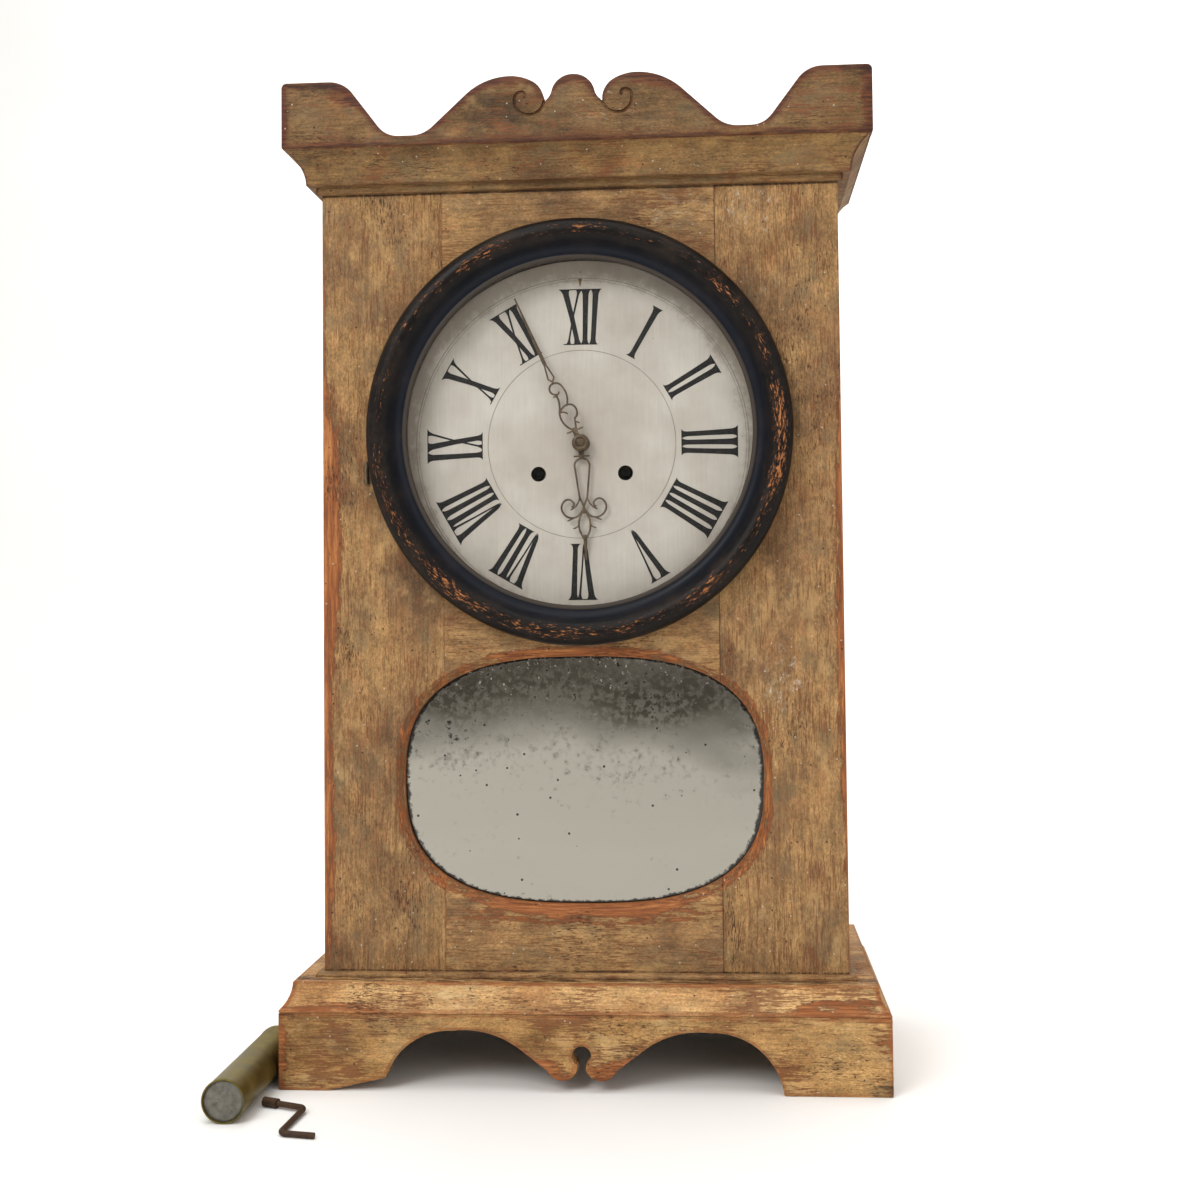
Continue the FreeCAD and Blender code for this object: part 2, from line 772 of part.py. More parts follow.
# Pierced hands, drawn pointing up at the origin, front face on y = 0, then turned to the time.
# The points are those of a hand of the drawn length, and sized() fits them to the dial.
def hour_hand_shape():
    drawn = 116.0
    k = hour_hand_length / drawn
    w = hand_bar
    t = hand_thick
    loop = [(0.0, 15.0), [(5.6, 17.2), (7.5, 22.6)], (3.8, 53.8), (0.0, 62.8)]
    scroll = [
        (0.0, 62.8),
        [(2.6, 68.2), (6.5, 72.4)],
        [(14.5, 73.4), (20.6, 68.8)],
        [(22.3, 63.0), (19.8, 57.4)],
        [(15.6, 55.3), (11.2, 57.4)],
        [(9.9, 60.0), (11.6, 62.8)],
    ]
    spur = [(3.7, 53.0), [(6.2, 60.0), (12.8, 65.4)]]
    thorn = [(6.5, 72.4), (16.5, 76.4)]
    leaf = [(0.4, 67.0), [(5.5, 78.0), (0.6, 95.0)]]
    barb = [(5.2, 79.5), [(7.5, 82.8), (11.0, 84.2)]]
    neck = [(-3.0, 0.0), (3.0, 0.0), (2.6, 15.6), (-2.6, 15.6), (-3.0, 0.0)]
    collar = [(-7.2, 12.6), (7.2, 12.6)]
    stem = [(0.0, 61.0), (0.0, 69.0)]
    point = [(-2.2, 91.0), (2.2, 91.0), (0.6, drawn), (-0.6, drawn), (-2.2, 91.0)]
    solids = [rod_y(hand_hub_radius, 0, 0, 0, t)]
    solids += [board_xz(sized(neck, k), 0, t), board_xz(sized(point, k), 0, t)]
    solids += bar(sized(collar, k), w * 0.8, t) + bar(sized(stem, k), w, t)
    thin = w * 0.7
    for path, width in ((loop, w), (scroll, w), (spur, w * 0.8), (thorn, thin), (leaf, w), (barb, thin)):
        for piece in bar(sized(path, k), width, t):
            solids += [piece, flipped(piece)]
    return fused(solids)


def minute_hand_shape():
    drawn = 159.0
    k = minute_hand_length / drawn
    w = hand_bar
    t = hand_thick
    neck = [(-3.0, 0.0), (3.0, 0.0), (2.6, 16.6), (-2.6, 16.6), (-3.0, 0.0)]
    drop = [(0.0, 65.2), (4.0, 70.6), (0.9, 90.0), (-0.9, 90.0), (-4.0, 70.6), (0.0, 65.2)]
    hole = [(0.0, 68.2), (2.3, 71.0), (0.0, 85.0), (-2.3, 71.0), (0.0, 68.2)]
    point = [(-2.0, 86.0), (2.0, 86.0), (0.8, drawn), (-0.8, drawn), (-2.0, 86.0)]
    bars = [
        ([(-7.8, 14.2), (8.2, 13.2)], w * 0.8),
        ([(-2.0, 15.5), [(-7.4, 25.5), (-6.2, 36.9)], [(-3.2, 43.7), (-2.4, 54.0)]], w),
        ([(-2.2, 52.2), (-5.6, 52.6)], w * 0.7),
        ([(-6.0, 36.0), [(-2.2, 39.0), (2.1, 40.2)], [(8.4, 37.6), (9.9, 31.1)],
          [(8.2, 26.8), (5.1, 25.0)]], w),
        ([(-6.0, 35.6), [(-2.6, 34.8), (0.0, 32.1)]], w * 0.8),
        ([(5.1, 25.0), [(3.6, 20.0), (2.0, 15.0)]], w),
        ([(3.8, 22.0), (7.2, 18.9)], w * 0.7),
        ([(3.2, 39.8), [(7.4, 50.0), (6.4, 59.4)], [(2.6, 64.4), (-2.6, 64.9)],
          [(-6.3, 60.5), (-2.7, 54.0)], [(-0.6, 53.4), (1.2, 55.0)]], w),
    ]
    solids = [rod_y(hand_hub_radius, 0, 0, 0, t)]
    solids += [board_xz(sized(neck, k), 0, t), board_xz(sized(point, k), 0, t)]
    solids.append(board_xz(sized(drop, k), 0, t).cut(board_xz(sized(hole, k), 0, t)))
    for path, width in bars:
        solids += bar(sized(path, k), width, t)
    return fused(solids)


def place_hand(shape, angle, y, bore):
    shape = shape.cut(rod_y(bore, 0, 0, -1, hand_thick + 1))
    shape.rotate(vec(0, 0, 0), vec(0, 1, 0), angle)
    shape.translate(vec(0, y, dial_z))
    return shape


def make_hands():
    hour_y = dial_front_y - hand_stack
    minute_y = hour_y - hand_stack
    save("hour_hand", place_hand(hour_hand_shape(), hour_hand_angle, hour_y,
                                 hour_pipe_radius + pivot_clearance))
    save("minute_hand", place_hand(minute_hand_shape(), minute_hand_angle, minute_y,
                                   cannon_radius + pivot_clearance))
    nut = rod_y(hand_hub_radius - 0.6, 0, dial_z, minute_y - nut_thick, minute_y)
    nut = nut.makeChamfer(nut_thick * 0.4, [nut.Edges[0]])
    square = block(-3.2, 3.2, minute_y - nut_thick - 1.4, minute_y - nut_thick, dial_z - 3.2, dial_z + 3.2)
    save("hand_nut", nut.fuse(square).removeSplitter())


# Positions of the going train about the dial's middle
def train_places():
    great = (winding_spread, winding_z)
    centre_distance = math.hypot(winding_spread, winding_drop)
    great_module = 2 * centre_distance / (great_teeth + pinion_teeth)
    third_distance = centre_module * (centre_teeth + pinion_teeth) / 2
    third = (third_distance * math.sin(math.radians(third_bearing)),
             dial_z + third_distance * math.cos(math.radians(third_bearing)))
    escape_distance = third_module * (third_teeth + pinion_teeth) / 2
    escape = (0.0, third[1] + math.sqrt(max(escape_distance ** 2 - third[0] ** 2, 1.0)))
    motion_distance = motion_module * motion_teeth
    minute = (0.0, dial_z + motion_distance)
    hour_module = 2 * motion_distance / (hour_teeth + pinion_teeth)
    return great, great_module, third, escape, minute, hour_module


def make_plates():
    great, great_module, third, escape, minute, hour_module = train_places()
    holes_both = []
    for x, z in (third, escape, (0.0, anchor_z)):
        holes_both.append((x, z, pivot_radius + pivot_clearance))
    holes_both.append((0.0, dial_z, centre_arbor_radius + pivot_clearance))
    for hand in (-1, 1):
        holes_both.append((hand * winding_spread, winding_z, barrel_arbor_radius + pivot_clearance))
    pillars = []
    for x in (-plate_half_width + pillar_inset, plate_half_width - pillar_inset):
        for z in (plate_foot_z + pillar_inset, plate_top_z - pillar_inset):
            pillars.append(rod_y(pillar_radius, x, z, train_front_y, train_back_y))
    for name, y0 in (("front_plate", plate_front_y), ("back_plate", train_back_y)):
        plate = block(-plate_half_width, plate_half_width, y0, y0 + plate_thick, plate_foot_z, plate_top_z)
        plate = plate.cut([rod_y(r, x, z, y0, y0 + plate_thick) for x, z, r in holes_both])
        if name == "front_plate":
            stud = rod_y(minute_stud_radius, minute[0], minute[1], dial_back_y + 2.0, plate_front_y)
            plate = plate.fuse(stud)
        else:
            bore = pivot_radius + pivot_clearance
            plate = plate.cut(rod_y(bore, -hammer_side, hammer_z, y0, y0 + plate_thick)).fuse(pillars)
        save(name, plate)


def barrel(x, wheel_y, drum_y, turn, module):
    z = winding_z
    great = wheel(great_teeth, module, x, z, wheel_y, wheel_y + wheel_thick, turn)
    drum = rod_y(barrel_radius, x, z, drum_y, drum_y + barrel_length)
    arbor = rod_y(barrel_arbor_radius, x, z, plate_front_y - 0.5, plate_back_y)
    square = winding_square / 2
    key = block(x - square, x + square, dial_back_y + 1.0, plate_front_y - 0.5, z - square, z + square)
    return fused([great, drum, arbor, key])


def make_train():
    great, great_module, third, escape, minute, hour_module = train_places()
    to_centre = bearing(great[0], great[1], 0.0, dial_z)
    save("going_barrel", barrel(winding_spread, great_y, great_y + wheel_thick, to_centre, great_module))
    strike_y = train_back_y - strike_wheel_room
    save("strike_barrel", barrel(-winding_spread, strike_y, strike_y - barrel_length, 0.0, great_module))

    half_leaf = 180.0 / pinion_teeth
    centre_y = great_y + wheel_thick + centre_wheel_room
    to_third = bearing(0.0, dial_z, third[0], third[1])
    arbor_front_y = dial_front_y - 2 * hand_stack + hand_thick / 2
    arbor = rod_y(centre_arbor_radius, 0, dial_z, arbor_front_y, plate_back_y)
    pinion = wheel(pinion_teeth, great_module, 0, dial_z, great_y - 1, great_y + wheel_thick + 1,
                   to_centre + 180 + half_leaf)
    rim = wheel(centre_teeth, centre_module, 0, dial_z, centre_y, centre_y + wheel_thick, to_third)
    cannon = rod_y(cannon_radius, 0, dial_z, dial_front_y - 2 * hand_stack, plate_front_y - 0.6)
    motion_y = plate_front_y - motion_wheel_room
    motion = wheel(motion_teeth, motion_module, 0, dial_z, motion_y, motion_y + wheel_thick, 0.0)
    save("centre_arbor", fused([arbor, pinion, rim]))
    cannon_bore = centre_arbor_radius + pivot_clearance
    save("cannon_pinion", cannon.fuse(motion).removeSplitter().cut(
        rod_y(cannon_bore, 0, dial_z, arbor_front_y - hand_thick, plate_front_y)))

    third_wheel_y = centre_y + wheel_thick + third_wheel_room
    to_escape = bearing(third[0], third[1], escape[0], escape[1])
    save("third_arbor", fused([
        rod_y(pivot_radius, third[0], third[1], plate_front_y, plate_back_y),
        wheel(pinion_teeth, centre_module, third[0], third[1], centre_y - 1, centre_y + wheel_thick + 1,
              to_third + 180 + half_leaf),
        wheel(third_teeth, third_module, third[0], third[1],
              third_wheel_y, third_wheel_y + wheel_thick, to_escape),
    ]))
    escape_y = third_wheel_y + wheel_thick + escape_wheel_room
    escape_wheel = wheel(escape_teeth, 2 * escape_radius / escape_teeth, escape[0], escape[1],
                         escape_y, escape_y + wheel_thick, 0.0)
    save("escape_arbor", fused([
        rod_y(pivot_radius, escape[0], escape[1], plate_front_y, plate_back_y),
        wheel(pinion_teeth, third_module, escape[0], escape[1],
              third_wheel_y - 1, third_wheel_y + wheel_thick + 1, to_escape + 180 + half_leaf),
        escape_wheel,
    ]))

    half_tooth = 180.0 / motion_teeth
    leaf_y = motion_y - hour_wheel_room
    bore = minute_stud_radius + pivot_clearance
    save("minute_wheel", fused([
        wheel(motion_teeth, motion_module, minute[0], minute[1],
              motion_y, motion_y + wheel_thick, 180 + half_tooth),
        wheel(pinion_teeth, hour_module, minute[0], minute[1], leaf_y - 0.5, motion_y, 180.0),
    ]).cut(rod_y(bore, minute[0], minute[1], leaf_y - 1, motion_y + wheel_thick + 1)))
    hour_bore = rod_y(cannon_radius + pivot_clearance, 0, dial_z,
                      dial_front_y - 2 * hand_stack, plate_front_y)
    hour = wheel(hour_teeth, hour_module, 0, dial_z, leaf_y, leaf_y + wheel_thick, 180.0 / hour_teeth)
    pipe = rod_y(hour_pipe_radius, 0, dial_z, dial_front_y - hand_stack, leaf_y)
    save("hour_wheel", hour.fuse(pipe).removeSplitter().cut(hour_bore))
    return escape, escape_y


def make_pendulum(escape, escape_y):
    tip = escape_radius + tooth_height * 2 * escape_radius / escape_teeth
    rise = anchor_z - escape[1]
    reach = tip * 0.72
    pallet_z = escape[1] + math.sqrt(tip * tip - reach * reach) + pallet_clear
    crutch_y = plate_back_y + crutch_clear
    crutch_end_y = crutch_y + crutch_thick
    arbor = rod_y(pivot_radius, 0, anchor_z, plate_front_y, crutch_end_y)
    hub = rod_y(pivot_radius + pallet_size, 0, anchor_z, escape_y, escape_y + wheel_thick)
    arms = board_xz([
        (-reach - pallet_size, pallet_z), (-reach, pallet_z + pallet_size / 3), (0.0, anchor_z - rise * 0.22),
        (reach, pallet_z + pallet_size / 3), (reach + pallet_size, pallet_z),
        (reach, pallet_z + 2 * pallet_size),
        (0.0, anchor_z + crutch_width), (-reach, pallet_z + 2 * pallet_size),
        (-reach - pallet_size, pallet_z),
    ], escape_y, escape_y + wheel_thick)
    crutch_half = crutch_width / 2
    crutch_z = anchor_z - crutch_length
    crutch = block(-crutch_half, crutch_half, crutch_y, crutch_end_y, crutch_z, anchor_z + crutch_width)
    fork_y = pendulum_y - rod_thick / 2
    fork = block(-crutch_half, crutch_half, crutch_end_y, fork_y, crutch_z, crutch_z + crutch_width)
    save("anchor_and_crutch", fused([arbor, hub, arms, crutch, fork]))

    rod_half = rod_width / 2
    bob_z = anchor_z - pendulum_length
    rod = block(-rod_half, rod_half, fork_y, fork_y + rod_thick, bob_z - bob_radius - 14.0, anchor_z - 30.0)
    spring = block(-rod_half, rod_half, pendulum_y - 0.2, pendulum_y + 0.2, anchor_z - 30.0, anchor_z + 3.0)
    save("pendulum_rod", rod.fuse(spring).removeSplitter())
    swell = bob_thick / 2
    lens = [(0.0, -swell), [(bob_radius * 0.6, -swell * 0.72), (bob_radius, 0.0)],
            [(bob_radius * 0.6, swell * 0.72), (0.0, swell)], (0.0, -swell)]
    edges = path_edges(lens, lambda r, h: vec(r, pendulum_y + h, bob_z))
    bob = Part.Face(Part.Wire(edges)).revolve(vec(0, pendulum_y, bob_z), vec(0, 1, 0), 360)
    slot = block(-rod_half, rod_half, fork_y, fork_y + rod_thick, bob_z - bob_radius, bob_z + bob_radius)
    nut = rod_z(6.0, 0, pendulum_y, bob_z - bob_radius - 6.0, bob_z - bob_radius).cut(rod)
    save("pendulum_bob", Part.makeCompound([bob.cut(slot), nut]))

    cock = block(-12.0, 12.0, plate_back_y, pendulum_y + 6.0, anchor_z + 4.0 + 0.6, anchor_z + 16.0)
    slit = block(-1.0, 1.0, pendulum_y - 0.5, pendulum_y + 6.0, anchor_z, anchor_z + 30.0)
    save("pendulum_cock", cock.cut(slit))


def make_strike():
    post_y = (train_back_y + plate_back_y) / 2
    rim_z = bell_rim_z
    crown_z = rim_z + bell_height
    r = bell_radius
    k = bell_thick
    hole = bell_post_radius + pivot_clearance
    profile = [
        (hole, crown_z),
        [(r * 0.72, rim_z + bell_height * 0.72), (r, rim_z)],
        (r - k, rim_z),
        [(r * 0.72 - k * 0.7, rim_z + bell_height * 0.72 - k * 0.7), (hole, crown_z - k)],
        (hole, crown_z),
    ]
    edges = path_edges(profile, lambda radius, z: vec(radius, post_y, z))
    bell = Part.Face(Part.Wire(edges)).revolve(vec(0, post_y, 0), vec(0, 0, 1), 360)
    save("bell", bell)
    save("bell_post", rod_z(bell_post_radius, 0, post_y, plate_top_z, crown_z + 6.0))

    arm_y = plate_back_y + 2.0
    head_z = hammer_z + hammer_arm
    head_x = -bell_radius - hammer_gap - hammer_head_length
    x = -hammer_side
    arbor = rod_y(pivot_radius, x, hammer_z, train_back_y, arm_y + 4.0)
    arm = block(x - 1.5, x + 1.5, arm_y, arm_y + 3.0, hammer_z - 4.0, head_z)
    head_start = vec(head_x, arm_y + 1.5, head_z)
    head = Part.makeCylinder(hammer_head_radius, hammer_head_length, head_start, vec(1, 0, 0))
    save("hammer", fused([arbor, arm, head]))


def make_seat():
    y0 = dial_back_y + seat_front_room
    y1 = plate_back_y + seat_back_room
    seat = block(-inner_half, inner_half, y0, y1, seat_foot_z, plate_foot_z)
    slot_x = winding_spread + barrel_radius + line_clearance + line_radius
    slots = []
    for hand in (-1, 1):
        x = hand * slot_x
        slots.append(block(x - seat_slot, x + seat_slot, y0 + seat_rim, y1 - seat_rim,
                           seat_foot_z, plate_foot_z))
    save("seat_board", seat.cut(slots))
    cheeks = []
    for hand in (-1, 1):
        x0 = min(hand * inner_half, hand * (inner_half - cheek_thick))
        low = seat_foot_z - cheek_height
        cheeks.append(block(x0, x0 + cheek_thick, y0, y0 + cheek_depth, low, seat_foot_z))
    save("seat_cheeks", Part.makeCompound(cheeks))


# A driving weight standing on its foot at the origin: brass shell, neck and an eye for the line.
def weight_shape():
    shell = rod_z(weight_radius, 0, 0, 0, weight_length)
    shell = shell.makeChamfer(1.5, [edge for edge in shell.Edges if edge.Closed])
    neck = rod_z(weight_neck_radius, 0, 0, weight_length, weight_length + weight_neck_length)
    eye = rod_y(2.0, 0, weight_length + weight_neck_length * 0.6, -weight_neck_radius, weight_neck_radius)
    return shell.fuse(neck).removeSplitter().cut(eye)


def make_weights():
    line_x = winding_spread + barrel_radius + line_clearance + line_radius
    line_y = great_y + wheel_thick + barrel_length / 2
    top_z = seat_foot_z - weight_hang
    hung = weight_shape()
    hung.translate(vec(line_x, line_y, top_z - weight_length - weight_neck_length))
    save("going_weight", hung)
    save("going_line", rod_z(line_radius, line_x, line_y, top_z, winding_z))

    loose = weight_shape()
    loose.rotate(vec(0, 0, 0), vec(1, 0, 0), -90)
    loose_x = -plinth_half - loose_weight_gap - weight_radius
    loose.translate(vec(loose_x, plinth_front_y - loose_weight_front, weight_radius))
    save("strike_weight", loose)


# Winding crank of bent rod, lying on the floor in front of the left foot.
def make_crank():
    x = -plinth_half - crank_beside
    y = plinth_front_y - crank_before
    corners = [vec(x, y, 0)]
    for step in (crank_shank, crank_throw, crank_handle):
        corners.append(corners[-1] + vec(step[0], step[1], 0))
    edges = []
    here = corners[0]
    for index in (1, 2):
        into = (corners[index] - corners[index - 1]).normalize()
        out = (corners[index + 1] - corners[index]).normalize()
        turn = into.getAngle(out)
        cut_back = crank_bend_radius * math.tan(turn / 2)
        start = corners[index] - into * cut_back
        end = corners[index] + out * cut_back
        inward = (out - into).normalize()
        middle = corners[index] + inward * (crank_bend_radius / math.cos(turn / 2) - crank_bend_radius)
        edges.append(Part.LineSegment(here, start).toShape())
        edges.append(Part.Arc(start, middle, end).toShape())
        here = end
    edges.append(Part.LineSegment(here, corners[3]).toShape())
    spine = Part.Wire(edges)
    along = corners[1] - corners[0]
    ring = Part.Wire([Part.makeCircle(crank_rod_radius, corners[0], along)])
    rod = spine.makePipeShell([ring], True, False)
    socket = Part.makeCylinder(crank_socket_radius, crank_socket_length, corners[0], along)
    crank = rod.fuse(socket).removeSplitter()
    hole = Part.makeBox(winding_square, winding_square, crank_socket_length * 0.7)
    hole.translate(vec(-winding_square / 2, -winding_square / 2, 0))
    square_up = FreeCAD.Rotation(vec(0, 0, 1), vec(0, 0, 0), along, "ZXY")
    aim = FreeCAD.Placement(corners[0], square_up)
    hole.Placement = aim.multiply(hole.Placement)
    crank = crank.cut(hole)
    span = corners[0].y - corners[3].y
    tilt = math.degrees(math.atan2(crank_socket_radius - crank_rod_radius, span))
    crank.rotate(corners[0], vec(1, 0, 0), tilt)
    crank.translate(vec(0, 0, -crank.BoundBox.ZMin))
    save("winding_crank", crank)


make_front_frame()
make_carcase()
make_plinth()
make_cornice()
make_crest()
make_mirror()
make_door()
make_dial()
make_hands()
make_plates()
escape_place, escape_plane = make_train()
make_pendulum(escape_place, escape_plane)
make_strike()
make_seat()
make_weights()
make_crank()
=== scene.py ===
import bpy
import bmesh
import json
import math
from mathutils import Matrix, Vector


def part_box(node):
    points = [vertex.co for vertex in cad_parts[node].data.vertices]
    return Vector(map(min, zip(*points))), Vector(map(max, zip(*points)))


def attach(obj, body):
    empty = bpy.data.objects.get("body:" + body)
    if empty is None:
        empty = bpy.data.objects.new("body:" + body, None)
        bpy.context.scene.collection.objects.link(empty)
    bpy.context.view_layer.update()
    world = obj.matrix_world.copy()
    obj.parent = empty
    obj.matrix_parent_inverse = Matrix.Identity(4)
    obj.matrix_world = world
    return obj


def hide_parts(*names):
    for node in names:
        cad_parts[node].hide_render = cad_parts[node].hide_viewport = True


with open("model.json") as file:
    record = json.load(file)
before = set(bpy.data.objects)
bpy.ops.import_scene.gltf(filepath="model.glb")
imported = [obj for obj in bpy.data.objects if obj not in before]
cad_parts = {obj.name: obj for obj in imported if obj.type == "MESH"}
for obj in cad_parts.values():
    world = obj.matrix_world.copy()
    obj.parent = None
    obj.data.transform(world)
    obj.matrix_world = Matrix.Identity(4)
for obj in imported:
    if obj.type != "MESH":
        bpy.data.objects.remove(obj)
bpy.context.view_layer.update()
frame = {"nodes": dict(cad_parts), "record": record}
nodes = frame["nodes"]
bodyOf = {}
for body, names in frame["record"]["behaviour"]["bodies"].items():
    for name in names:
        bodyOf[name] = body
print("frame loaded:", len(nodes), "nodes")


def hexColour(text):
    parts = [int(text[i:i + 2], 16) / 255 for i in (1, 3, 5)]
    linear = [p / 12.92 if p <= 0.04045 else ((p + 0.055) / 1.055) ** 2.4 for p in parts]
    return (*linear, 1.0)


def perMetre(mm):  # pattern scale for features of this size
    return 1000.0 / mm


# Adds a node with its settings, or its operation alone, and its links, and gives back the socket that the next
# node reads
def addNode(tree, kind, settings, links):
    node = tree.nodes.new("ShaderNode" + kind)
    if isinstance(settings, str):
        settings = {"operation": settings}
    for name, value in settings.items():
        if name == "stops":
            ramp = node.color_ramp
            ramp.elements.remove(ramp.elements[1])
            ramp.elements[0].position = value[0][0]
            ramp.elements[0].color = hexColour(value[0][1])
            for place, colour in value[1:]:
                ramp.elements.new(place).color = hexColour(colour)
        elif name != "out":
            setattr(node, name, value)
    for name, value in links.items():
        if isinstance(name, int):
            socket = node.inputs[name]
        else:
            socket = next(s for s in node.inputs if s.name == name and s.enabled)
        if isinstance(value, bpy.types.NodeSocket):
            tree.links.new(value, socket)
        elif isinstance(value, str):
            socket.default_value = hexColour(value)
        else:
            socket.default_value = value
    if "out" in settings:
        return node.outputs[settings["out"]]
    return next((s for s in node.outputs if s.enabled), None)


# An empty material, its node tree and the place on the object that its patterns are laid out from
def newMaterial(name):
    material = bpy.data.materials.new(name)
    material.use_nodes = True
    tree = material.node_tree
    tree.nodes.clear()
    place = addNode(tree, "TexCoord", {"out": "Object"}, {})
    return material, tree, place


def closeMaterial(material, links):
    tree = material.node_tree
    surface = addNode(tree, "BsdfPrincipled", {}, links)
    addNode(tree, "OutputMaterial", {"target": "ALL"}, {"Surface": surface})
    return material


smoothStep = {"interpolation_type": "SMOOTHSTEP"}
colourMix = {"data_type": "RGBA"}
multiplyMix = {"data_type": "RGBA", "blend_type": "MULTIPLY"}


# Lays coats over a colour in their order: what gathers, where it starts and is full, how much it hides, its tint
def layCoats(tree, colour, coats):
    mask = {}
    for key, (value, start, full, most, tint) in coats.items():
        mask[key] = addNode(tree, "MapRange", smoothStep, {
            "Value": value, "From Min": start, "From Max": full, "To Max": most})
        colour = addNode(tree, "Mix", colourMix, {"Factor": mask[key], "A": colour, "B": tint})
    return colour, mask


# middle and half sizes of the glass that shows and of the bare rim round it, the power of their oval, and the
# heights between which the foxing grows
mirrorLook = {"centre": (0.0, 0.0, 0.289), "half": (0.176, 1.0, 0.1205), "frame": (0.181, 9.0, 0.1255), "power": 2.7,
              "foxLow": 0.25285, "foxHigh": 0.4095}


# How far out a place lies on the mirror's oval: 1 at these half sizes
def ovalOut(tree, place, half):
    away = addNode(tree, "VectorMath", "SUBTRACT", {0: place, 1: mirrorLook["centre"]})
    away = addNode(tree, "VectorMath", "ABSOLUTE", {0: away})
    away = addNode(tree, "VectorMath", "DIVIDE", {0: away, 1: half})
    away = addNode(tree, "SeparateXYZ", {}, {"Vector": away}).node
    across, up = [addNode(tree, "Math", "POWER", {0: away.outputs[axis], 1: mirrorLook["power"]}) for axis in "XZ"]
    return addNode(tree, "Math", "ADD", {0: across, 1: up})


# each pattern of the paint: millimetres across and along the grain, detail, roughness and shift
paintGrains = {
    "cloud": (75, 105, 6.0, 0.60, 0.0), "brush": (2.4, 45, 7.0, 0.70, 0.0), "mottle": (11, 19, 9.0, 0.68, 3.1),
    "grit": (1.6, 2.8, 5.0, 0.72, 11.4), "rub": (14, 36, 10.0, 0.72, 7.7), "dirt": (34, 52, 10.0, 0.70, 1.9),
    "chalk": (28, 46, 10.0, 0.72, 5.3), "flake": (5.0, 26, 11.0, 0.76, 2.4), "dash": (1.2, 7.0, 5.0, 0.66, 9.2),
    "drift": (45, 80, 4.0, 0.6, 6.6), "scratch": (1.3, 17, 4.0, 0.62, 4.8), "scratchDrift": (48, 66, 4.0, 0.6, 8.3),
    "scuff": (5, 8, 10.0, 0.8, 0.7),
}


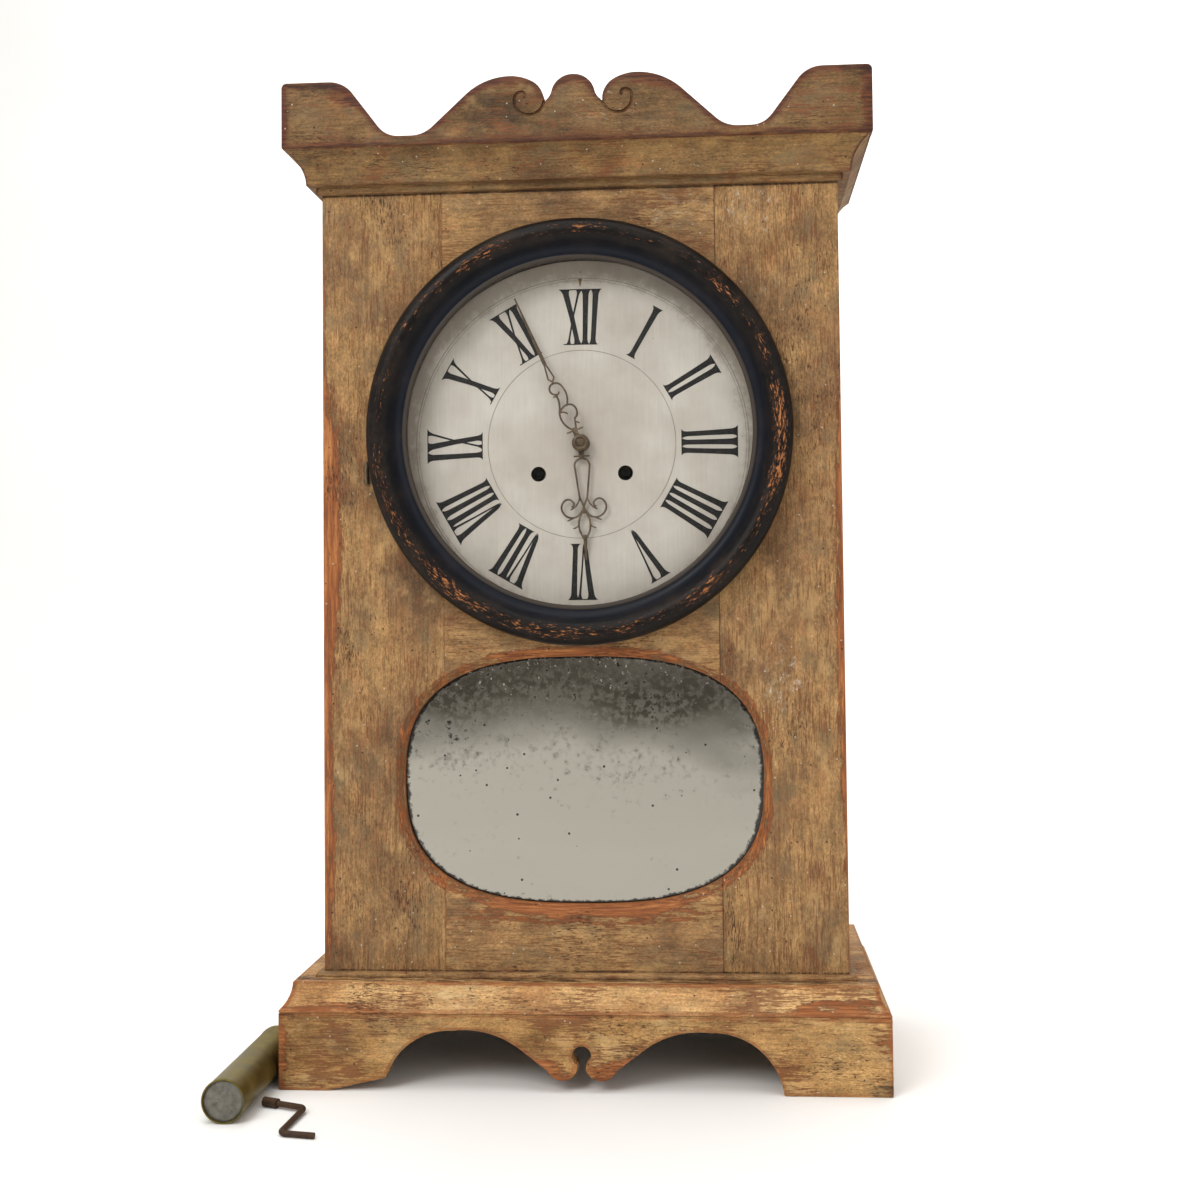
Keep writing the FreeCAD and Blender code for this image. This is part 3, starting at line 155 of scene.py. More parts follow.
# Old oil paint on pine: streaked ochre with grey-olive hand dirt, rubbed to red-brown ground and bare orange
# wood at the edges and in the places the look names, with dark chips along the grain and white scuffs.
def paintedPine(name, look):
    material, tree, place = newMaterial(name)
    grain = {}
    for key, (across, along, detail, roughness, shift) in paintGrains.items():
        scale = tuple(perMetre(along if axis == look["grain"] else across) for axis in "XYZ")
        drawn = addNode(tree, "Mapping", {}, {"Vector": place, "Scale": scale, "Location": (shift, shift, shift)})
        grain[key] = addNode(tree, "TexNoise", {}, {
            "Vector": drawn, "Scale": 1.0, "Detail": detail, "Roughness": roughness})

    # tones: clouds of a hand's width, brush marks along the grain, mottling and fine grit
    colour = addNode(tree, "ValToRGB", {"stops": look["tones"]}, {"Fac": grain["cloud"]})
    for key, low, high in (("brush", 0.77, 1.21), ("mottle", 0.81, 1.19), ("grit", 0.68, 1.32)):
        amount = addNode(tree, "MapRange", {}, {
            "Value": grain[key], "From Min": 0.37, "From Max": 0.63, "To Min": low, "To Max": high})
        colour = addNode(tree, "Mix", multiplyMix, {"Factor": 1.0, "A": colour, "B": amount})

    # wear gathers on sharp edges, about the mirror and where the look says; so do scuffs, blackened corners and the
    # painted shade in the cracks between parts
    softNormal = addNode(tree, "Bevel", {"samples": 8}, {"Radius": look["edgeReach"]})
    faceNormal = addNode(tree, "NewGeometry", {"out": "Normal"}, {})
    alike = addNode(tree, "VectorMath", "DOT_PRODUCT", {0: softNormal, 1: faceNormal})
    edge = addNode(tree, "MapRange", {}, {
        "Value": alike, "From Min": 0.998, "From Max": 0.88, "To Min": 0.0, "To Max": look["edge"]})
    gathered = {"rubbed": edge, "scuffed": grain["scuff"], "blackenedAndShaded": grain["flake"]}
    for key in gathered:
        for centre, reach, amount in look[key]:
            away = addNode(tree, "VectorMath", "SUBTRACT", {0: place, 1: centre})
            away = addNode(tree, "VectorMath", "DIVIDE", {0: away, 1: reach})
            away = addNode(tree, "VectorMath", "LENGTH", {0: away})
            near = addNode(tree, "MapRange", smoothStep, {
                "Value": away, "From Min": 1.1, "From Max": 0.45, "To Max": amount})
            gathered[key] = addNode(tree, "Math", "ADD", {0: gathered[key], 1: near})
    worn = addNode(tree, "Math", "MULTIPLY_ADD", {0: grain["flake"], 1: 1.6, 2: gathered["rubbed"]})
    if look["mirrorRim"]:
        out = ovalOut(tree, place, mirrorLook["frame"])
        near = addNode(tree, "MapRange", smoothStep, {
            "Value": out, "From Min": 1.14, "From Max": 1.01, "To Max": 0.36})
        worn = addNode(tree, "Math", "ADD", {0: worn, 1: near})

    # chips and scratches lie in drifts; specks and pin holes are drawn over a millimetre across, as coarse as
    # they need to be to show; seams are the two joints of stiles and rails
    chipped = addNode(tree, "Math", "MULTIPLY_ADD", {0: grain["drift"], 1: 0.75, 2: grain["dash"]})
    scratched = addNode(tree, "Math", "MULTIPLY_ADD", {
        0: grain["scratchDrift"], 1: look["scratchGather"], 2: grain["scratch"]})
    ground = addNode(tree, "Mix", colourMix, {"Factor": grain["brush"], "A": "#5A311D", "B": "#82502F"})
    bareTone = addNode(tree, "ValToRGB", {"stops": look["bare"]}, {"Fac": grain["brush"]})
    speck = addNode(tree, "TexVoronoi", {}, {"Vector": place, "Scale": perMetre(13)})
    pin = addNode(tree, "TexVoronoi", {}, {"Vector": place, "Scale": perMetre(17)})
    side = addNode(tree, "SeparateXYZ", {"out": "X"}, {"Vector": place})
    seamShade = addNode(tree, "MapRange", {}, {
        "Value": side, "From Min": -0.01, "From Max": 0.01, "To Min": look["seam"][0], "To Max": look["seam"][1]})
    seam = addNode(tree, "Math", "ABSOLUTE", {0: side})
    seam = addNode(tree, "Math", "SUBTRACT", {0: seam, 1: look["joint"]})
    seam = addNode(tree, "Math", "ABSOLUTE", {0: seam})
    flakes, chips, scratches = look["flakes"], look["chips"], look["scratches"]
    colour, mask = layCoats(tree, colour, {
        "rub": (grain["rub"], 0.50, 0.68, look["rubs"], "#9A5E36"),
        "dirt": (grain["dirt"], 0.49, 0.66, look["dirt"], "#6A5D43"),
        "chalk": (grain["chalk"], 0.52, 0.68, look["chalk"], look["cream"]),
        "scratch": (scratched, scratches, scratches + 0.06, 0.75, ground),
        "ground": (worn, flakes, flakes + 0.07, 0.9, ground),
        "bare": (worn, flakes + 0.10, flakes + 0.19, 1.0, bareTone),
        "chip": (chipped, chips, chips + 0.045, 0.9, "#4A2C1B"),
        "scuff": (gathered["scuffed"], 0.70, 0.86, 0.6, "#DAD3C2"),
        "speck": (speck, 0.075, 0.050, 0.4, "#DED7C6"),
        "pin": (pin, 0.070, 0.045, 0.85, "#2A1A11"),
        # blackened corners, and the painted shade in the cracks between parts
        "black": (gathered["blackenedAndShaded"], 0.80, 1.02, 0.8, "#2B1C14"),
        "seam": (seam, 0.0007, 0.0003, seamShade, "#2E1D12"),
    })

    rough = addNode(tree, "MapRange", {}, {
        "Value": grain["dirt"], "From Min": 0.3, "From Max": 0.7, "To Min": 0.80, "To Max": 0.58})
    height = grain["brush"]
    for part, rise in ((grain["mottle"], 0.5), (mask["ground"], -0.7), (mask["chip"], -0.9), (mask["scratch"], -0.5)):
        height = addNode(tree, "Math", "MULTIPLY_ADD", {0: part, 1: rise, 2: height})
    normal = addNode(tree, "Bump", {}, {"Strength": 0.6, "Distance": 0.0006, "Height": height})
    return closeMaterial(material, {
        "Base Color": colour, "Roughness": rough, "Specular IOR Level": 0.28, "Normal": normal})


# tones from the dark of the paint's clouds to the light and back, and of the wood where it is bare
ochreTones = [(0.30, "#614830"), (0.43, "#80603E"), (0.56, "#9A764B"), (0.70, "#785A39")]
sideTones = [(0.30, "#70553A"), (0.43, "#846542"), (0.56, "#98774D"), (0.70, "#80623F")]
corniceTones = [(0.30, "#584228"), (0.43, "#725634"), (0.56, "#876840"), (0.70, "#6C5232")]
crestTones = [(0.30, "#43311D"), (0.43, "#5E4629"), (0.56, "#745735"), (0.70, "#584226")]
plinthTones = [(0.30, "#765530"), (0.44, "#9A7344"), (0.57, "#B48D59"), (0.72, "#8C673B")]
creamTones = [(0.30, "#92693E"), (0.44, "#AE8252"), (0.58, "#C69E6A"), (0.74, "#A47A4C")]
bareTones = [(0.34, "#6A3B20"), (0.50, "#92562E"), (0.66, "#B47945")]
darkBareTones = [(0.32, "#331C14"), (0.50, "#4E2B1C"), (0.68, "#744329")]

# what a user would change on one painted piece: rubs, dirt and chalk are how much those coats hide; flakes, chips
# and scratches are where the wear starts, so lower is more; seam is the dark in the left and the right joint;
# each mark in the lists has a centre, a reach in metres and a strength
paintLook = {"tones": ochreTones, "bare": bareTones, "cream": "#BF9A66", "grain": "Z", "rubs": 0.3, "dirt": 0.5,
             "chalk": 0.5, "edge": 0.30, "edgeReach": 0.004, "flakes": 1.09, "chips": 1.04, "scratches": 0.825,
             "scratchGather": 0.5, "seam": (0.0, 0.0), "joint": 0.135, "mirrorRim": False,
             "rubbed": [], "scuffed": [], "blackenedAndShaded": []}
jointSeams = (0.12, 0.62)  # the left joint is painted over, the right one has opened
caseY, crestY, plinthY = -0.102, -0.134, -0.138  # front faces that the marks lie on
stileRubs = [((-0.256, caseY, 0.53), (0.026, 0.014, 0.21), 0.56), ((-0.256, caseY, 0.24), (0.017, 0.014, 0.18), 0.50),
             ((-0.256, caseY, 0.76), (0.008, 0.014, 0.09), 0.30), ((-0.212, caseY, 0.50), (0.014, 0.014, 0.07), 0.15),
             ((0.256, caseY, 0.48), (0.030, 0.014, 0.30), 0.17), ((0.257, caseY, 0.42), (0.012, 0.014, 0.38), 0.32),
             ((-0.135, caseY, 0.188), (0.03, 0.014, 0.012), 0.22), ((-0.150, caseY, 0.82), (0.04, 0.014, 0.03), 0.16),
             ((0.17, caseY, 0.22), (0.04, 0.014, 0.10), 0.10)]
stileScuffs = [((0.17, caseY, 0.845), (0.06, 0.05, 0.035), 0.17), ((0.215, caseY, 0.66), (0.04, 0.05, 0.16), 0.10),
               ((0.195, caseY, 0.385), (0.035, 0.05, 0.06), 0.17), ((0.22, caseY, 0.22), (0.03, 0.05, 0.10), 0.07)]
# painted shade in the open cracks under the cornice and over the strip
frontCrackShade = [((0.0, caseY, 0.870), (1.0, 0.05, 0.0035), 0.50), ((0.0, caseY, 0.1045), (1.0, 0.05, 0.0030), 0.44)]
stilePaint = paintedPine("worn oil paint on upright pine", dict(
    paintLook, seam=jointSeams, mirrorRim=True, rubbed=stileRubs, scuffed=stileScuffs, blackenedAndShaded=frontCrackShade))
railPaint = paintedPine("worn oil paint on cross pine", dict(
    paintLook, grain="X", seam=jointSeams, mirrorRim=True, blackenedAndShaded=frontCrackShade,
    scuffed=[((0.10, caseY, 0.845), (0.05, 0.05, 0.03), 0.16)],
    rubbed=[((0.0, caseY, 0.160), (0.19, 0.05, 0.016), 0.36), ((-0.02, caseY, 0.416), (0.13, 0.05, 0.012), 0.24)]))
stripPaint = paintedPine("worn oil paint on pine strip", dict(paintLook, grain="X", edge=0.36))
sidePaint = paintedPine("worn oil paint on pine sides", dict(
    paintLook, tones=sideTones, edge=0.26, rubs=0.3, dirt=0.22, chalk=0.4, chips=1.08,
    rubbed=[((0.255, -0.08, 0.45), (0.02, 0.03, 0.40), 0.2)]))
cornicePaint = paintedPine("worn oil paint on pine cornice", dict(
    paintLook, tones=corniceTones, bare=darkBareTones, cream="#A8854F", grain="X", rubs=0.35, chalk=0.45, edge=0.46,
    scratches=1.22, scratchGather=1.2, scuffed=[((0.12, -0.125, 0.895), (0.06, 0.05, 0.02), 0.12)],
    rubbed=[((0.0, -0.12, 0.880), (0.40, 0.05, 0.006), 0.12), ((0.283, -0.12, 0.900), (0.02, 0.30, 0.03), 0.22)]))
crestPaint = paintedPine("worn oil paint on pine crest", dict(
    paintLook, tones=crestTones, bare=darkBareTones, cream="#A07C4D", grain="X", edge=0.60, edgeReach=0.020,
    chalk=0.4, flakes=1.08, dirt=0.4, scratches=1.195, scratchGather=1.2,
    scuffed=[((0.03, crestY, 0.94), (0.06, 0.05, 0.03), 0.14)],
    rubbed=[((-0.222, crestY, 0.960), (0.026, 0.05, 0.016), 0.34), ((0.088, crestY, 0.966), (0.05, 0.05, 0.013), 0.32),
            ((-0.088, crestY, 0.966), (0.05, 0.05, 0.012), 0.28), ((0.284, crestY, 0.95), (0.012, 0.05, 0.05), 0.36),
            ((-0.286, crestY, 0.94), (0.008, 0.05, 0.04), 0.40), ((0.0, crestY, 0.968), (0.02, 0.05, 0.008), 0.24)],
    # painted shade in the crack under the crest, and blackened ear corners
    blackenedAndShaded=[((0.0, crestY, 0.9095), (1.0, 0.06, 0.0030), 0.36),
               ((-0.258, crestY, 0.972), (0.045, 0.06, 0.018), 0.40),
               ((0.276, crestY, 0.972), (0.030, 0.06, 0.018), 0.40)]))
mouldingPaint = paintedPine("chalky oil paint on pine moulding", dict(
    paintLook, tones=creamTones, cream="#D6B684", grain="X", rubs=0.35, dirt=0.3, chalk=0.7, edge=0.50,
    edgeReach=0.008, flakes=1.08, chips=1.02, scratches=1.19, scratchGather=1.2,
    rubbed=[((-0.24, -0.133, 0.077), (0.06, 0.05, 0.008), 0.32), ((0.25, -0.133, 0.079), (0.06, 0.05, 0.012), 0.32),
            ((0.0, -0.108, 0.100), (0.30, 0.05, 0.004), 0.26), ((0.20, -0.125, 0.085), (0.10, 0.05, 0.02), 0.14),
            ((0.05, -0.13, 0.075), (0.07, 0.05, 0.012), 0.12)],
    # painted shade in the crack between the strip and the moulding
    blackenedAndShaded=[((0.0, -0.110, 0.1005), (1.0, 0.02, 0.0035), 0.42)]))
plinthPaint = paintedPine("worn oil paint on pine plinth", dict(
    paintLook, tones=plinthTones, cream="#C9A672", grain="X", rubs=0.25, dirt=0.45, chalk=0.65, edge=0.50,
    edgeReach=0.012, flakes=1.08, chips=1.01, scratches=1.18, scratchGather=1.2,
    rubbed=[((-0.292, plinthY, 0.035), (0.016, 0.05, 0.05), 0.40),
            ((-0.045, plinthY, 0.014), (0.050, 0.05, 0.024), 0.52),
            ((0.045, plinthY, 0.016), (0.050, 0.05, 0.022), 0.52), ((0.285, plinthY, 0.06), (0.02, 0.05, 0.03), 0.26)],
    blackenedAndShaded=[((0.291, plinthY, 0.004), (0.03, 0.06, 0.014), 0.45),
               ((-0.286, plinthY, 0.068), (0.02, 0.06, 0.012), 0.36)]))
print("painted pine mixed")


# Bare pine inside and behind: brown with age, boards of one width side by side, growth lines along each
def barePine(name, grain, boardWidth, stops):
    material, tree, place = newMaterial(name)
    across = addNode(tree, "SeparateXYZ", {"out": "X" if grain == "Z" else "Z"}, {"Vector": place})
    count = addNode(tree, "Math", "DIVIDE", {0: across, 1: boardWidth})
    board = addNode(tree, "Math", "FLOOR", {0: count})
    within = addNode(tree, "Math", "FRACT", {0: count})
    shift = addNode(tree, "Math", "MULTIPLY", {0: board, 1: 3.7})
    shift = addNode(tree, "CombineXYZ", {}, {"X": shift, "Y": shift, "Z": shift})
    stretch = tuple(perMetre(380 if axis == grain else 9) for axis in "XYZ")
    growthPlace = addNode(tree, "Mapping", {}, {"Vector": place, "Scale": stretch})
    growthPlace = addNode(tree, "VectorMath", "ADD", {0: growthPlace, 1: shift})
    growth = addNode(tree, "TexNoise", {}, {
        "Vector": growthPlace, "Scale": 1.0, "Detail": 7.0, "Roughness": 0.66, "Distortion": 0.6})
    stain = addNode(tree, "TexNoise", {}, {"Vector": place, "Scale": perMetre(110), "Detail": 9.0, "Roughness": 0.72})
    mixed = addNode(tree, "Math", "MULTIPLY_ADD", {0: stain, 1: 0.45, 2: growth})
    mixed = addNode(tree, "Math", "MULTIPLY", {0: mixed, 1: 0.7})
    colour = addNode(tree, "ValToRGB", {"stops": stops}, {"Fac": mixed})
    seam = addNode(tree, "Math", "PINGPONG", {0: within, 1: 0.5})
    colour, mask = layCoats(tree, colour, {"seam": (seam, 0.0008 / boardWidth, 0.0003 / boardWidth, 0.8, "#22160D")})
    normal = addNode(tree, "Bump", {}, {"Strength": 0.4, "Distance": 0.0004, "Height": mixed})
    return closeMaterial(material, {
        "Base Color": colour, "Roughness": 0.75, "Specular IOR Level": 0.3, "Normal": normal})


brownStops = [(0.40, "#523C27"), (0.50, "#6E5538"), (0.58, "#866A48"), (0.68, "#62492E")]
# near black pine for the back and bottom boards of the plinth: painted shade for the inside of the arches
shadeDarkStops = [(0.40, "#1A110B"), (0.54, "#2A1C12"), (0.68, "#3C2A1A")]
backPine = barePine("bare pine boards upright", "Z", 0.157, brownStops)
crossPine = barePine("bare pine boards across", "X", 2.4, brownStops)  # wider than the case, so no seam
shadeDarkPine = barePine("pine boards painted dark as shade", "X", 2.4, shadeDarkStops)

# middle and crest radius of the ring, size of its flecks in millimetres, and the patches that are rubbed most
ringLook = {"centre": (0.0, 0.0, 0.629), "crest": 0.196, "fleck": (7, 1.6, 1.6),
            "black": [(0.32, "#0A0908"), (0.50, "#15110F"), (0.68, "#2A2019")],
            "rubbed": [((-0.125, -0.12, 0.49), 0.07, 0.055), ((0.19, -0.12, 0.62), 0.09, 0.025),
                       ((-0.18, -0.12, 0.56), 0.08, 0.03)]}


# Black oil paint on a turned ring: deep and faintly glossy, with a painted blue reflection in the hollow, grey-brown
# orange-flecked at the lip and along the rounded crest, where the paint is worn to the wood
def blackRingPaint():
    material, tree, place = newMaterial("black oil paint on turned pine")
    local = addNode(tree, "VectorMath", "SUBTRACT", {0: place, 1: ringLook["centre"]})
    parts = addNode(tree, "SeparateXYZ", {}, {"Vector": local}).node
    turn = addNode(tree, "Math", "ARCTAN2", {0: parts.outputs["Z"], 1: parts.outputs["X"]})
    flat = addNode(tree, "VectorMath", "MULTIPLY", {0: local, 1: (1.0, 0.0, 1.0)})
    radius = addNode(tree, "VectorMath", "LENGTH", {0: flat})
    girth = addNode(tree, "Math", "MULTIPLY", {0: turn, 1: ringLook["crest"]})
    wrapped = addNode(tree, "CombineXYZ", {}, {"X": girth, "Y": radius, "Z": parts.outputs["Y"]})
    fleckSize = tuple(perMetre(mm) for mm in ringLook["fleck"])
    fleckPlace = addNode(tree, "Mapping", {}, {"Vector": wrapped, "Scale": fleckSize})
    fleck = addNode(tree, "TexNoise", {}, {"Vector": fleckPlace, "Scale": 1.0, "Detail": 9.0, "Roughness": 0.74})
    offCrest = addNode(tree, "Math", "SUBTRACT", {0: radius, 1: ringLook["crest"]})
    offCrest = addNode(tree, "Math", "ABSOLUTE", {0: offCrest})
    crest = addNode(tree, "MapRange", smoothStep, {
        "Value": offCrest, "From Min": 0.014, "From Max": 0.002, "To Min": -0.08, "To Max": 0.09})
    drift = addNode(tree, "TexNoise", {}, {"Vector": place, "Scale": perMetre(75), "Detail": 2.0})
    worn = addNode(tree, "Math", "ADD", {0: fleck, 1: crest})
    worn = addNode(tree, "Math", "MULTIPLY_ADD", {0: drift, 1: 0.30, 2: worn})
    for centre, reach, amount in ringLook["rubbed"]:
        away = addNode(tree, "VectorMath", "DISTANCE", {0: place, 1: centre})
        patch = addNode(tree, "MapRange", smoothStep, {
            "Value": away, "From Min": reach, "From Max": 0.01, "To Max": amount})
        worn = addNode(tree, "Math", "ADD", {0: worn, 1: patch})
    dust = addNode(tree, "TexNoise", {}, {"Vector": place, "Scale": perMetre(28), "Detail": 8.0, "Roughness": 0.7})
    black = addNode(tree, "ValToRGB", {"stops": ringLook["black"]}, {"Fac": dust})
    colour, mask = layCoats(tree, black, {
        # painted blue reflection in the hollow of the ring
        "hollowReflection": (radius, 0.190, 0.178, 0.55, "#141C29"),
        "lip": (radius, 0.1745, 0.1725, 0.7, "#4A4138"),
        "brown": (worn, 0.76, 0.84, 0.6, "#5A3720"),
        "orange": (worn, 0.83, 0.862, 0.9, "#AF7040"),
    })
    rough = addNode(tree, "MapRange", {}, {
        "Value": dust, "From Min": 0.3, "From Max": 0.7, "To Min": 0.30, "To Max": 0.52})
    rough = addNode(tree, "Math", "MULTIPLY_ADD", {0: mask["brown"], 1: 0.3, 2: rough})
    height = addNode(tree, "Math", "MULTIPLY_ADD", {0: mask["brown"], 1: -0.8, 2: fleck})
    normal = addNode(tree, "Bump", {}, {"Strength": 0.35, "Distance": 0.0004, "Height": height})
    return closeMaterial(material, {
        "Base Color": colour, "Roughness": rough, "Specular IOR Level": 0.15, "Normal": normal})


ringPaint = blackRingPaint()

dialLook = {"centre": (0.0, 0.0, 0.620), "silver": [(0.3, "#BFB7AA"), (0.5, "#CDC6BA"), (0.7, "#D9D4C9")]}


# Silver-white oil paint on sheet iron: matt, faintly mottled, grime and painted ring shade towards the rim, brown at
# the hub
def dialPaint():
    material, tree, place = newMaterial("silver white paint on sheet iron")
    flat = addNode(tree, "VectorMath", "MULTIPLY", {0: place, 1: (1.0, 0.0, 1.0)})
    radius = addNode(tree, "VectorMath", "DISTANCE", {0: flat, 1: dialLook["centre"]})
    cloud = addNode(tree, "TexNoise", {}, {"Vector": place, "Scale": perMetre(70), "Detail": 6.0, "Roughness": 0.6})
    tone = addNode(tree, "ValToRGB", {"stops": dialLook["silver"]}, {"Fac": cloud})
    brushPlace = addNode(tree, "Mapping", {}, {"Vector": place, "Scale": (perMetre(2.5), 1.0, perMetre(45))})
    brush = addNode(tree, "TexNoise", {}, {"Vector": brushPlace, "Scale": 1.0, "Detail": 4.0})
    brushTone = addNode(tree, "MapRange", {}, {
        "Value": brush, "From Min": 0.3, "From Max": 0.7, "To Min": 0.955, "To Max": 1.03})
    colour = addNode(tree, "Mix", multiplyMix, {"Factor": 1.0, "A": tone, "B": brushTone})
    grime = addNode(tree, "TexNoise", {}, {"Vector": place, "Scale": perMetre(22), "Detail": 9.0, "Roughness": 0.75})
    # darker towards the rim: grime together with the painted shade of the ring
    rimGrimeAndShade = addNode(tree, "MapRange", {}, {
        "Value": radius, "From Min": 0.152, "From Max": 0.176, "To Min": -0.12, "To Max": 0.32})
    grimeAndRingShade = addNode(tree, "Math", "ADD", {0: grime, 1: rimGrimeAndShade})
    fly = addNode(tree, "TexVoronoi", {}, {"Vector": place, "Scale": perMetre(34)})
    colour, mask = layCoats(tree, colour, {
        # grime coat, which also lays the painted shade of the ring near the rim
        "grime": (grimeAndRingShade, 0.50, 0.80, 0.55, "#7E705D"),
        "hub": (radius, 0.085, 0.008, 0.30, "#9A8A78"),
        "fly": (fly, 0.030, 0.020, 0.6, "#5A4E40"),
    })
    normal = addNode(tree, "Bump", {}, {"Strength": 0.12, "Distance": 0.0003, "Height": brush})
    return closeMaterial(material, {
        "Base Color": colour, "Roughness": 0.5, "Specular IOR Level": 0.4, "Normal": normal})


sheetPaint = dialPaint()


# Brush-drawn paint: thick in the strokes, thinner and paler where the brush ran dry
def inkPaint(name, dark, pale):
    material, tree, place = newMaterial(name)
    dry = addNode(tree, "TexNoise", {}, {"Vector": place, "Scale": perMetre(7), "Detail": 7.0, "Roughness": 0.7})
    colour, mask = layCoats(tree, dark, {"dry": (dry, 0.45, 0.75, 1.0, pale)})
    return closeMaterial(material, {"Base Color": colour, "Roughness": 0.55, "Specular IOR Level": 0.35})


numeralInk = inkPaint("lamp black numerals", "#12100E", "#2C2823")
ringInk = inkPaint("thin brown dial rings", "#8A8072", "#B4AC9E")
markInk = inkPaint("ochre noon mark", "#6E5630", "#8B7140")


# Old sheet glass: clear, with a thin grey veil of dust and a plain reflection
def doorGlass():
    material, tree, place = newMaterial("old sheet glass")
    veil = addNode(tree, "TexNoise", {}, {"Vector": place, "Scale": perMetre(140), "Detail": 5.0})
    facing = addNode(tree, "Fresnel", {}, {"IOR": 1.45})
    alpha = addNode(tree, "MapRange", {}, {"Value": veil, "From Min": 0.3, "From Max": 0.7, "To Max": 0.01})
    alpha = addNode(tree, "Math", "MULTIPLY_ADD", {0: facing, 1: 0.4, 2: alpha})
    return closeMaterial(material, {
        "Base Color": "#77797A", "Roughness": 0.04, "Specular IOR Level": 0.8, "Alpha": alpha})


clearGlass = doorGlass()


# Old tin-backed looking glass: grey reflection, hazed and foxed in drifts near the top, black where the backing has
# gone in spots and at the rim, with a pale bloom
def lookingGlass():
    material, tree, place = newMaterial("foxed looking glass")
    out = ovalOut(tree, place, mirrorLook["half"])
    ragged = addNode(tree, "TexNoise", {}, {"Vector": place, "Scale": perMetre(9), "Detail": 8.0, "Roughness": 0.75})
    rimmed = addNode(tree, "Math", "MULTIPLY_ADD", {0: ragged, 1: 0.22, 2: out})
    high = addNode(tree, "SeparateXYZ", {"out": "Z"}, {"Vector": place})
    high = addNode(tree, "MapRange", {}, {
        "Value": high, "From Min": mirrorLook["foxLow"], "From Max": mirrorLook["foxHigh"],
        "To Min": -0.10, "To Max": 0.07})
    drift = addNode(tree, "TexNoise", {}, {"Vector": place, "Scale": perMetre(85), "Detail": 3.0})
    fox = addNode(tree, "TexNoise", {}, {"Vector": place, "Scale": perMetre(6.5), "Detail": 4.0, "Roughness": 0.62})
    foxed = addNode(tree, "Math", "MULTIPLY_ADD", {0: drift, 1: 0.35, 2: fox})
    foxed = addNode(tree, "Math", "ADD", {0: foxed, 1: high})
    spot = addNode(tree, "TexVoronoi", {}, {"Vector": place, "Scale": perMetre(19)})
    bloom = addNode(tree, "TexNoise", {}, {"Vector": place, "Scale": perMetre(5.0), "Detail": 6.0, "Roughness": 0.75})
    bloom = addNode(tree, "Math", "ADD", {0: bloom, 1: high})
    colour, mask = layCoats(tree, "#A29E94", {
        "haze": (foxed, 0.72, 0.9, 0.6, "#75726B"),
        "fox": (foxed, 0.835, 0.885, 1.0, "#17140F"),
        "spot": (spot, 0.075, 0.055, 1.0, "#17140F"),
        "rim": (rimmed, 1.04, 1.08, 1.0, "#17140F"),
        "bloom": (bloom, 0.655, 0.72, 0.8, "#C6C1B4"),
    })
    lost = mask["bloom"]
    for key in ("fox", "spot", "rim"):
        lost = addNode(tree, "Math", "MAXIMUM", {0: lost, 1: mask[key]})
    metal = addNode(tree, "Math", "SUBTRACT", {0: 1.0, 1: lost})
    rough = addNode(tree, "MapRange", {}, {
        "Value": foxed, "From Min": 0.6, "From Max": 0.9, "To Min": 0.025, "To Max": 0.22})
    return closeMaterial(material, {"Base Color": colour, "Metallic": metal, "Roughness": rough})


silvered = lookingGlass()

# what a user would change on one metal: cloud and pit sizes in millimetres, pit depth in metres, and the Y
# ahead of which a piece is painted near black as the shade in a hole
metalLook = {"metallic": 1.0, "roughness": 0.35, "cloud": 25, "pit": 1.5, "pitDepth": 0.0001, "holeShadeAhead": None}


# One recipe for the plain metals: a cast or drawn surface, tarnish in clouds and finer pits
def agedMetal(name, stops, look):
    material, tree, place = newMaterial(name)
    cloud = addNode(tree, "TexNoise", {}, {
        "Vector": place, "Scale": perMetre(look["cloud"]), "Detail": 9.0, "Roughness": 0.68})
    colour = addNode(tree, "ValToRGB", {"stops": stops}, {"Fac": cloud})
    if look["holeShadeAhead"] is not None:
        depth = addNode(tree, "SeparateXYZ", {"out": "Y"}, {"Vector": place})
        # painted shade: near black in front of this Y, where the piece sits in a hole
        colour, mask = layCoats(tree, colour, {
            "holeShade": (depth, look["holeShadeAhead"], look["holeShadeAhead"] - 0.001, 1.0, "#1D1B19"),
        })
    rough = addNode(tree, "MapRange", {}, {
        "Value": cloud, "From Min": 0.3, "From Max": 0.7,
        "To Min": look["roughness"] - 0.1, "To Max": look["roughness"] + 0.12})
    pits = addNode(tree, "TexNoise", {}, {
        "Vector": place, "Scale": perMetre(look["pit"]), "Detail": 6.0, "Roughness": 0.7})
    normal = addNode(tree, "Bump", {}, {"Strength": 0.4, "Distance": look["pitDepth"], "Height": pits})
    return closeMaterial(material, {
        "Base Color": colour, "Metallic": look["metallic"], "Roughness": rough, "Normal": normal})


brassStops = [(0.3, "#8A6A34"), (0.55, "#B08A48"), (0.75, "#C29C58")]
# grey-brown, with a dull shine on the eased edges of the hands
handBrass = agedMetal("tarnished cut brass", [(0.3, "#4C3F32"), (0.5, "#6C5C4A"), (0.7, "#8A7762")],
                      dict(metalLook, metallic=0.75, roughness=0.45, cloud=9, pit=0.9))
# yellow and half bright in the wheels
movementBrass = agedMetal("dull movement brass", brassStops, metalLook)
# nearly black behind the dial, painted shade so the winding holes read as dark
holeShadePlate = agedMetal("plate brass painted dark as hole shade", [(0.3, "#2A2114"), (0.55, "#43341E"), (0.75, "#5A4828")],
                      dict(metalLook, metallic=0.9, roughness=0.5))
# paler and smoother than the brass
bellBronze = agedMetal("bell bronze", [(0.3, "#8E7444"), (0.6, "#B69A62"), (0.8, "#C4AA76")],
                       dict(metalLook, roughness=0.30, cloud=30))
